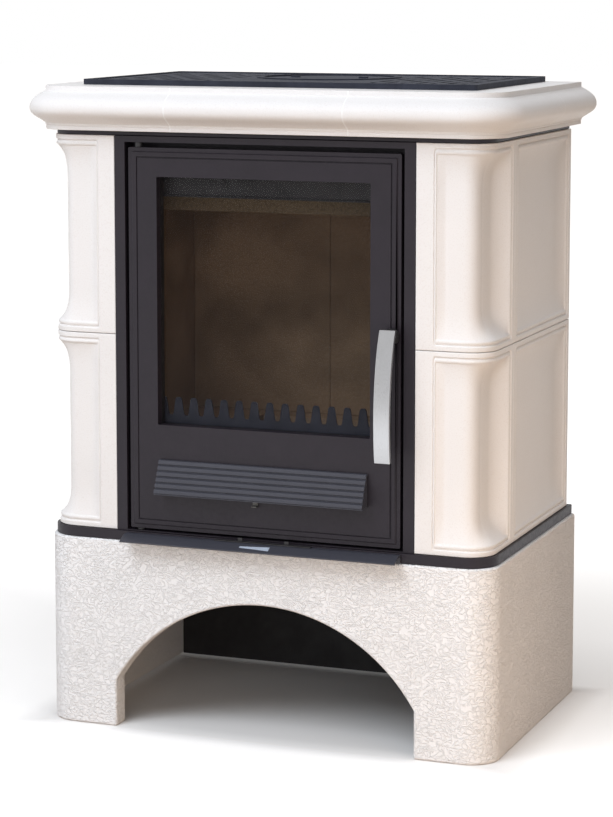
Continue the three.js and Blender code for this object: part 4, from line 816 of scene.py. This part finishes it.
def cornice_outline(reach, inset=0.0):
    """Section of the cornice as (distance out of the tile face, height) points.

    Its small corners are drawn with shares of an arris.
    """
    out = sizes().nose_out
    height = CORNICE_HIGH.z - CORNICE_LOW.z
    lip, arris, nose = CORNICE_LIP, CORNICE_ARRIS, CORNICE_NOSE
    foot = CORNICE_LIP_TOP + CORNICE_FILLET
    head = height - CORNICE_STEP
    bulge = (out - lip) / 2
    points = [
        (-CORNICE_BODY, 0.0),
        (lip - arris, 0.0),
        (lip - 0.3 * arris, 0.3 * arris),
        (lip, arris),
        (lip, CORNICE_LIP_TOP - 0.4 * arris),
        (lip - 0.5 * arris, CORNICE_LIP_TOP),
        (lip + 0.4 * arris, CORNICE_LIP_TOP + 0.8 * arris),
        (lip + arris, foot - arris),
        (lip + arris, foot),
    ]
    low_curve = ((lip + bulge, foot + 0.7 * bulge), (out, nose - bulge), (out, nose))
    points += bezier(points[-1], *low_curve, NOSE_STEPS)
    high_curve = ((out, nose + bulge), (lip + bulge, head - bulge / 2), (lip, head))
    points += bezier(points[-1], *high_curve, NOSE_STEPS)
    points += [
        (lip, height - arris),
        (lip - 0.3 * arris, height - 0.3 * arris),
        (lip - arris, height),
        (-reach, height),
        (-reach, height - FLANGE_THICKNESS),
        (-CORNICE_BODY, height - FLANGE_THICKNESS),
    ]
    return [(e - inset, z) for e, z in points]


def front_section(bm, outline, x):
    """The section as a face that stands across the front at x."""
    return add_face(bm, [(x, FACE_Y - e, CORNICE_LOW.z + z) for e, z in outline])


def side_section(bm, outline, y):
    """The section as a face that stands across the left side at y."""
    return add_face(bm, [(-TILE_HALF - e, y, CORNICE_LOW.z + z) for e, z in outline])


def soften_ends(bm, width):
    """Rounds only the edges round the two end faces of a length of moulding."""
    ends = [f for f in bm.faces if len(f.verts) > SECTION_CORNERS]
    rims = {e for f in ends for e in f.edges if e.calc_face_angle(0) > END_ANGLE}
    round_edges(bm, list(rims), width)


def cornice_front():
    """The length between the two front joints."""
    low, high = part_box("cornice_front")
    bm = bmesh.new()
    face = front_section(bm, cornice_outline(FLANGE_REACH), high.x)
    extrude(bm, face, Vector((low.x - high.x, 0, 0)))
    return bm


def cornice_rear():
    """The length behind the joint on the left side."""
    low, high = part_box("cornice_rear_left")
    bm = bmesh.new()
    face = side_section(bm, cornice_outline(FLANGE_REACH), low.y)
    extrude(bm, face, Vector((0, high.y - low.y, 0)))
    return bm


def cornice_corner():
    """The length that turns the left corner, with its flange completed beyond the turn."""
    low, high = CORNICE_LOW, CORNICE_HIGH
    radius = sizes().corner_radius
    centre = Vector((-TILE_HALF + radius, FACE_Y + radius, 0))
    bm = bmesh.new()
    face = front_section(bm, cornice_outline(SWEPT_REACH), high.x)
    face = extrude(bm, face, Vector((centre.x - high.x, 0, 0)))
    face = turn_corner(bm, face, centre, -math.pi / 2, TURN_STEPS)
    extrude(bm, face, Vector((0, high.y - centre.y, 0)))
    bmesh.ops.recalc_face_normals(bm, faces=bm.faces)
    soften_ends(bm, sizes().glaze_edge)
    inner_x, inner_y = -TILE_HALF + SWEPT_REACH, FACE_Y + SWEPT_REACH
    strip = FLANGE_REACH - SWEPT_REACH
    z0 = high.z - FLANGE_THICKNESS
    add_box(bm, inner_x, high.x, inner_y, inner_y + strip, z0, high.z)
    add_box(bm, inner_x, inner_x + strip, inner_y + strip, high.y, z0, high.z)
    return bm


GROUT_RECESS = 0.00005  # below the glaze
GROUT_LAP = 0.8  # share of an arris that the grout covers


def grout_line(name, joint, axis, mirrored):
    """A fill of grout in one joint of the cornice, up to where its rounded arrises begin."""
    lap = GROUT_LAP * sizes().glaze_edge
    low, high = joint[0] - lap, joint[1] + lap
    bm = bmesh.new()
    outline = cornice_outline(SWEPT_REACH, GROUT_RECESS)
    outline = [(e, max(z - GROUT_RECESS, GROUT_RECESS)) for e, z in outline]
    if axis == "x":
        extrude(bm, front_section(bm, outline, high), Vector((low - high, 0, 0)))
    else:
        extrude(bm, side_section(bm, outline, low), Vector((0, high - low, 0)))
    if mirrored:
        mirror_to_right(bm)
    finished(name, bm, "stove", "glaze", look=finish_for("grout"))


class STOVE_OT_cornice(bpy.types.Operator):
    """Cornice in five lengths, with grout in its joints."""

    bl_idname = "stove.cornice"
    bl_label = "Cornice"

    def execute(self, context):
        bm = cornice_front()
        soften(bm, sizes().glaze_edge, angle=CORNICE_ANGLE)
        finished("cornice_front_glazed", bm, "stove", "glaze", ["cornice_front"])
        for side in ("left", "right"):
            rear = cornice_rear()
            soften(rear, sizes().glaze_edge, angle=CORNICE_ANGLE)
            for kind, bm in (("corner", cornice_corner()), ("rear", rear)):
                if side == "right":
                    mirror_to_right(bm)
                node = f"cornice_{kind}_{side}"
                finished(node + "_glazed", bm, "stove", "glaze", [node])
        front_low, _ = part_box("cornice_front")
        rear_low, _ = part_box("cornice_rear_left")
        front_joint = (CORNICE_HIGH.x, front_low.x)
        side_joint = (CORNICE_HIGH.y, rear_low.y)
        for side, mirrored in (("left", False), ("right", True)):
            grout_line("grout_front_" + side, front_joint, "x", mirrored)
            grout_line("grout_side_" + side, side_joint, "y", mirrored)
        return {"FINISHED"}


# ---- Plinth, tray, spacer and top plate ------------------------------
class STOVE_OT_plinth(bpy.types.Operator):
    """Plastered plinth with its arch, the steel tray on it and the panel behind the wood store."""

    bl_idname = "stove.plinth"
    bl_label = "Plinth"

    def execute(self, context):
        soften_nodes(["plinth"], sizes().plinth_edge, segments=3, angle=SQUARE_ANGLE)
        soften_nodes(["base_tray", "spacer_frame"], 2 * sizes().casting_edge)
        soften_nodes(["wood_store_back_panel"], 0.5 * sizes().casting_edge)
        return {"FINISHED"}


class STOVE_OT_top_plate(bpy.types.Operator):
    """Slotted top plate with its flue lid."""

    bl_idname = "stove.top_plate"
    bl_label = "Top plate"

    def execute(self, context):
        soften_nodes(["top_plate", "flue_lid"], sizes().casting_edge)
        return {"FINISHED"}


# ---- Surround, sill and door -----------------------------------------
class STOVE_OT_surround(bpy.types.Operator):
    """Black surround, sill under the door and the lower air slider."""

    bl_idname = "stove.surround"
    bl_label = "Surround and sill"

    def execute(self, context):
        edge = sizes().casting_edge
        soften_nodes(["surround_frame"], edge)
        # The sill gets the black paint made lighter and bluer: painted light.
        soften_nodes(["sill"], edge, look=finish_for("paint_with_painted_light"))
        soften_nodes(["primary_air_slider", "latch_keeper"], 0.5 * edge)
        soften_nodes(["sill_mark"], 0.3 * edge, look=finish_for("enamel"))
        dark = finish_for("dark_steel")
        soften_nodes(["hinge_pin_bottom", "hinge_pin_top"], 0.4 * edge, look=dark)
        return {"FINISHED"}


BEAD_ROUND = 0.0019  # of the bead round the door; all other edges of the casting stay fine
BEAD_NEAR, BEAD_FAR = 0.005, 0.016  # distances from the door's edge between which the bead runs
BEAD_ANGLE = 0.5  # radians; an edge that is this sharp belongs to its crest
LEVEL_TOLERANCE = 1e-5


def is_on_bead(edge, level):
    """Whether an edge of the casting runs along the bead's crest, outside the panel."""
    low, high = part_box("door_casting")
    for vert in edge.verts:
        beside = min(vert.co.x - low.x, high.x - vert.co.x)
        above = min(vert.co.z - low.z, high.z - vert.co.z)
        raised = abs(vert.co.y - level) <= LEVEL_TOLERANCE
        if not (raised and BEAD_NEAR < min(beside, above) < BEAD_FAR):
            return False
    return True


def soften_casting(width):
    """The door casting: its bead is rounded first, then all that is still sharp."""
    bm = merged_copy("door_casting")
    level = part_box("door_casting")[0].y
    bead = [e for e in bm.edges if is_on_bead(e, level) and e.calc_face_angle(0) > BEAD_ANGLE]
    round_edges(bm, bead, BEAD_ROUND, segments=4, clamp=False)
    soften(bm, width)
    finished("door_casting_finished", bm, "door", "black_paint", ["door_casting"], outward=False)


class STOVE_OT_door(bpy.types.Operator):
    """Door casting, window, retainer, seal and what hangs on the back of the door."""

    bl_idname = "stove.door"
    bl_label = "Door"

    def execute(self, context):
        edge = sizes().casting_edge
        soften_casting(edge)
        soften_nodes(["glass_retainer", "log_comb", "air_deflector"], 0.6 * edge)
        soften_nodes(["secondary_air_slider"], 0.3 * edge, look=finish_for("dull_steel"))
        soften_nodes(["door_seal"], 4 * edge, segments=4)
        glass = frame["nodes"]["door_glass"]
        glass.data.materials.clear()
        glass.data.materials.append(finish_for("window_glass"))
        return {"FINISHED"}


LOUVRE_SHEET = 0.0030
LOUVRE_SWELL = 0.0030  # the ribs' faces stand this much before the grooves between them
SLAT_SHARE = 0.70  # of a rib's pitch is its flat face
CHEEK = 0.004  # thickness of the louvre's ends
CHEEK_INSET = 0.0005  # from the ends of the ribs
CHEEK_TOP, CHEEK_FRONT, CHEEK_FOOT = 0.003, 0.004, 0.001  # from the louvre's box


def louvre_outline(low, high):
    """Side view of the ribbed louvre: flat slats with a narrow groove under each."""
    ribs = sizes().louvre_ribs
    pitch = (high.z - low.z) / ribs
    lean = (high.y - LOUVRE_SHEET - LOUVRE_SWELL - low.y) / (high.z - low.z)
    # Distance out and share of the pitch from the top of a rib downwards.
    rib_points = (
        (0.35, 0.0),
        (0.85, 0.05),
        (1.0, 0.14),
        (1.0, SLAT_SHARE - 0.08),
        (0.85, SLAT_SHARE),
        (0.0, SLAT_SHARE + 0.06),
        (0.0, 0.94),
    )
    front = []
    for rib in range(ribs):
        for swell, share in rib_points:
            z = high.z - (rib + share) * pitch
            y = high.y - LOUVRE_SHEET - (high.z - z) * lean
            front.append((y - swell * LOUVRE_SWELL, z))
    foot = low.y + LOUVRE_SWELL
    front.append((foot, low.z))
    top = (high.y, high.z)
    return [*front, (foot + LOUVRE_SHEET, low.z), (high.y, high.z - LOUVRE_SHEET), top]


def louvre_cheek(bm, low, high, x0, x1):
    """Closes one end of the louvre with a wedge-shaped cheek."""
    outline = (
        (high.y, high.z - CHEEK_TOP),
        (low.y + CHEEK_FRONT, low.z + CHEEK_FOOT),
        (high.y, low.z + CHEEK_FOOT),
    )
    add_bar(bm, outline, x0, x1)


class STOVE_OT_louvre(bpy.types.Operator):
    """Ribbed louvre over the air inlet in the door."""

    bl_idname = "stove.louvre"
    bl_label = "Louvre"

    def execute(self, context):
        low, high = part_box("louvre_grille")
        bm = bmesh.new()
        add_bar(bm, louvre_outline(low, high), low.x, high.x)
        bmesh.ops.recalc_face_normals(bm, faces=bm.faces)
        louvre_cheek(bm, low, high, low.x + CHEEK_INSET, low.x + CHEEK)
        louvre_cheek(bm, low, high, high.x - CHEEK, high.x - CHEEK_INSET)
        # The louvre's black paint is made lighter and bluer: painted light.
        paint_painted_light = finish_for("paint_with_painted_light")
        finished("louvre_ribbed", bm, "door", "black_paint", ["louvre_grille"], paint_painted_light)
        return {"FINISHED"}


# ---- Handle ----------------------------------------------------------
# How far the handle's outer face stands off the door: its top, two points that its curve is drawn
# towards, and its end.
HANDLE_REACHES = (0.024, 0.049, 0.059, 0.047)
HANDLE_UPPER_BOW_LEVEL = 0.7
HANDLE_CURVE_STEPS = 28


def handle_outline(low, high):
    """Side view of the bar: it leaves the door at the top, bows out and comes back a little."""
    third = (high.z - low.z) / 3
    levels = (high.z, high.z - third * HANDLE_UPPER_BOW_LEVEL, low.z + third, low.z)

    def side(thickness):
        stand_off = [FACE_Y - reach + thickness for reach in HANDLE_REACHES]
        corners = list(zip(stand_off, levels))
        return [corners[0], *bezier(*corners, HANDLE_CURVE_STEPS)]

    return side(0) + side(sizes().handle_thickness)[::-1]


class STOVE_OT_handle(bpy.types.Operator):
    """Brushed steel handle, its spindle and the latch behind the door."""

    bl_idname = "stove.handle"
    bl_label = "Handle"

    def execute(self, context):
        low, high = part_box("handle_lever")
        bm = bmesh.new()
        add_bar(bm, handle_outline(low, high), low.x, high.x)
        bmesh.ops.recalc_face_normals(bm, faces=bm.faces)
        soften(bm, sizes().handle_edge, segments=3, angle=SQUARE_ANGLE)
        finished("handle_bar", bm, "handle", "bright_steel", ["handle_lever"])
        soften_nodes(["handle_spindle", "latch_cam"], sizes().casting_edge)
        return {"FINISHED"}


# ---- Inside and back -------------------------------------------------
class STOVE_OT_firebox(bpy.types.Operator):
    """Steel body, fireclay lining, grate, baffle and ash pan."""

    bl_idname = "stove.firebox"
    bl_label = "Firebox"

    def execute(self, context):
        edge = sizes().casting_edge
        bricks = [node for node, slot in SLOT_OF.items() if slot in ("fireclay", "vermiculite")]
        soften_nodes(bricks, sizes().brick_edge)
        soften_nodes(["grate"], edge)
        body = ["body_casing", "body_front", "body_back", "body_top", "hearth_shelf"]
        soften_nodes(body + ["ash_pan", "flue_collar"], 0.6 * edge)
        return {"FINISHED"}


class STOVE_OT_back(bpy.types.Operator):
    """Rear cover, rail and flue spigot."""

    bl_idname = "stove.back"
    bl_label = "Back"

    def execute(self, context):
        edge = sizes().casting_edge
        soften_nodes(["rear_cover"], 0.4 * edge)
        soften_nodes(["rear_rail", "rear_flue_spigot"], edge)
        return {"FINISHED"}


# ---- Stage -----------------------------------------------------------
IMAGE_HEIGHT = 817  # pixels; the longer side of the picture
CAMERA_PLACE = (1.5863, -3.8855, 1.2552)  # from the middle of the plinth's front on the floor
CAMERA_YAW = math.radians(21.192)
CAMERA_PITCH = math.radians(7.08)
FOCAL_PIXELS = 2609.5
SHIFT_PIXELS = -106.0
SENSOR = 36.0
FLOOR_HALF = 30

COOL = (0.86, 0.925, 1.0)
MILD = (0.93, 0.955, 1.0)
WARM = (1.0, 0.77, 0.57)
# Name, place, target, side, power, tint, and whether the camera and gloss see the lamp.
LAMPS = (
    ("key_lamp", (-1.3, -3.2, 4.1), (0, 0, 0.7), 2.6, 156, COOL, False),
    ("fill_lamp", (1.1, -4.5, 1.2), (0, 0, 0.6), 3.0, 57, MILD, False),
    ("top_lamp", (1.7, -1.1, 3.9), (0, 0, 0.9), 2.4, 32, MILD, True),
    ("left_lamp", (-3.5, -2.2, 0.8), (0, 0, 0.4), 2.4, 22, COOL, True),
    ("right_lamp", (1.15, -0.85, 0.12), (0.4, -0.05, 0.1), 0.8, 6.0, WARM, False),
    ("low_lamp", (-0.9, -1.9, 0.15), (-0.2, -0.1, 0.15), 0.9, 3.4, COOL, False),
)

AMBIENT_TINT = (1.0, 0.83, 0.70)
AMBIENT_STRENGTH = 0.15
FLOOR_BOUNCE = (0.47, 0.36, 0.27)
FLOOR_SEEN = (0.86, 0.85, 0.84)
# Glow of the seen floor against the distance from the middle, in half sizes of the footprint; its
# fall to nothing at the stove is painted shade under and beside it.
FLOOR_GLOW_WITH_PAINTED_SHADE = ((0.85, 0.0), (1.0, 0.10), (1.15, 0.35), (2.5, 0.55), (8.0, 0.95))


def add_camera():
    """The camera, where the photograph was taken from."""
    data = bpy.data.cameras.new("camera")
    data.sensor_width = SENSOR
    data.lens = data.sensor_width * FOCAL_PIXELS / IMAGE_HEIGHT
    data.shift_y = SHIFT_PIXELS / IMAGE_HEIGHT
    camera = place_in_scene("camera", data)
    x, y, z = CAMERA_PLACE
    camera.location = (x, y + FRONT_Y, z)
    camera.rotation_euler = (math.pi / 2 - CAMERA_PITCH, 0, CAMERA_YAW)
    bpy.context.scene.camera = camera


def add_lamp(name, place, target, side, power, tint, seen):
    """A soft square lamp that looks at a point; an unseen one only lights."""
    data = bpy.data.lights.new(name, "AREA")
    data.shape = "SQUARE"
    data.size = side
    data.energy = power
    data.color = tint
    lamp = place_in_scene(name, data)
    lamp.location = place
    aim = Vector(target) - Vector(place)
    lamp.rotation_euler = aim.to_track_quat("-Z", "Y").to_euler()
    lamp.visible_camera = seen
    lamp.visible_glossy = seen


def white_seen(tree, lit, seen):
    """Mixes a shader for what the camera, gloss and glass see over the one that lights."""
    path = tree.nodes.new("ShaderNodeLightPath")
    share = path.outputs["Is Camera Ray"]
    for ray in ("Is Glossy Ray", "Is Transmission Ray"):
        share = maths(tree, "MAXIMUM", share, path.outputs[ray])
    mix = tree.nodes.new("ShaderNodeMixShader")
    tree.links.new(share, mix.inputs[0])
    tree.links.new(lit, mix.inputs[1])
    tree.links.new(seen, mix.inputs[2])
    return mix.outputs[0]


def light_the_world():
    """A dim warm surrounding that the camera, gloss and glass see as white."""
    world = bpy.data.worlds.new("room")
    bpy.context.scene.world = world
    world.use_nodes = True
    tree = world.node_tree
    ambient = tree.nodes["Background"]
    ambient.inputs["Color"].default_value = (*AMBIENT_TINT, 1)
    ambient.inputs["Strength"].default_value = AMBIENT_STRENGTH
    white = tree.nodes.new("ShaderNodeBackground")
    white.inputs["Color"].default_value = (1, 1, 1, 1)
    white.inputs["Strength"].default_value = 1.0
    mixed = white_seen(tree, ambient.outputs[0], white.outputs[0])
    tree.links.new(mixed, tree.nodes["World Output"].inputs["Surface"])


def glow_with_painted_shade(tree):
    """Glow that grows outwards from the footprint, so that the wood store stays dark: painted
    shade under and beside the stove.
    """
    place = tree.nodes.new("ShaderNodeTexCoord").outputs["Object"]
    split = tree.nodes.new("ShaderNodeSeparateXYZ")
    tree.links.new(place, split.inputs[0])
    low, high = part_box("plinth")
    offset = maths(tree, "SUBTRACT", split.outputs["Y"], (low.y + high.y) / 2)
    across = maths(tree, "DIVIDE", maths(tree, "ABSOLUTE", split.outputs["X"]), high.x)
    behind = maths(tree, "DIVIDE", maths(tree, "ABSOLUTE", offset), (high.y - low.y) / 2)
    away = maths(tree, "MAXIMUM", across, behind)
    farthest = FLOOR_GLOW_WITH_PAINTED_SHADE[-1][0]
    ramp = tree.nodes.new("ShaderNodeValToRGB")
    marks = ramp.color_ramp.elements
    marks[0].position, marks[1].position = 0.0, 1.0
    for distance, strength in FLOOR_GLOW_WITH_PAINTED_SHADE[:-1]:
        marks.new(distance / farthest).color = (strength, strength, strength, 1)
    first, last = FLOOR_GLOW_WITH_PAINTED_SHADE[0][1], FLOOR_GLOW_WITH_PAINTED_SHADE[-1][1]
    marks[0].color = (first, first, first, 1)
    marks[len(marks) - 1].color = (last, last, last, 1)
    tree.links.new(maths(tree, "DIVIDE", away, farthest), ramp.inputs[0])
    return ramp.outputs[0]


def floor_finish():
    """Floor that is seen white, with a soft shadow of the stove, partly from the lamps and partly
    painted shade where its glow fades, and throws back a warm light.
    """
    material = bpy.data.materials.new("studio_floor")
    material.use_nodes = True
    tree = material.node_tree
    warm = tree.nodes["Principled BSDF"]
    warm.inputs["Base Color"].default_value = (*FLOOR_BOUNCE, 1)
    warm.inputs["Roughness"].default_value = 0.9
    pale = tree.nodes.new("ShaderNodeBsdfDiffuse")
    pale.inputs["Color"].default_value = (*FLOOR_SEEN, 1)
    glow = tree.nodes.new("ShaderNodeEmission")
    # Painted shade: the glow fades towards the footprint of the stove.
    tree.links.new(glow_with_painted_shade(tree), glow.inputs["Strength"])
    seen = tree.nodes.new("ShaderNodeAddShader")
    tree.links.new(pale.outputs[0], seen.inputs[0])
    tree.links.new(glow.outputs[0], seen.inputs[1])
    mixed = white_seen(tree, warm.outputs[0], seen.outputs[0])
    tree.links.new(mixed, tree.nodes["Material Output"].inputs["Surface"])
    return material


class STOVE_OT_stage(bpy.types.Operator):
    """Plain pale floor, soft lamps and the camera."""

    bl_idname = "stove.stage"
    bl_label = "Stage"

    def execute(self, context):
        context.scene.view_settings.view_transform = "Standard"
        bm = bmesh.new()
        bmesh.ops.create_grid(bm, x_segments=1, y_segments=1, size=FLOOR_HALF)
        mesh = mesh_of("floor", bm)
        mesh.materials.append(floor_finish())
        floor = place_in_scene("floor", mesh)
        light_the_world()
        for lamp in LAMPS:
            add_lamp(*lamp)
        add_camera()
        return {"FINISHED"}


# ---- Panel and registration ------------------------------------------
OPERATORS = (
    STOVE_OT_plinth,
    STOVE_OT_tiles,
    STOVE_OT_cornice,
    STOVE_OT_top_plate,
    STOVE_OT_surround,
    STOVE_OT_door,
    STOVE_OT_louvre,
    STOVE_OT_handle,
    STOVE_OT_firebox,
    STOVE_OT_back,
    STOVE_OT_stage,
)


class STOVE_PT_pieces(bpy.types.Panel):
    """Lists the sizes, colours and pieces of the stove."""

    bl_label = "Tiled stove"
    bl_idname = "STOVE_PT_pieces"
    bl_space_type = "VIEW_3D"
    bl_region_type = "UI"
    bl_category = "Stove"

    def draw(self, context):
        for group in (sizes(), colours()):
            box = self.layout.box()
            for name in group.__annotations__:
                box.prop(group, name)
        for operator in OPERATORS:
            self.layout.operator(operator.bl_idname)


CLASSES = (StoveSizes, StoveColours, *OPERATORS, STOVE_PT_pieces)


def register():
    for cls in CLASSES:
        bpy.utils.register_class(cls)
    bpy.types.Scene.stove_sizes = PointerProperty(type=StoveSizes)
    bpy.types.Scene.stove_colours = PointerProperty(type=StoveColours)


def unregister():
    del bpy.types.Scene.stove_colours
    del bpy.types.Scene.stove_sizes
    for cls in reversed(CLASSES):
        bpy.utils.unregister_class(cls)


def main():
    register()
    for operator in OPERATORS:
        group, name = operator.bl_idname.split(".")
        getattr(getattr(bpy.ops, group), name)()


if __name__ == "__main__":
    main()
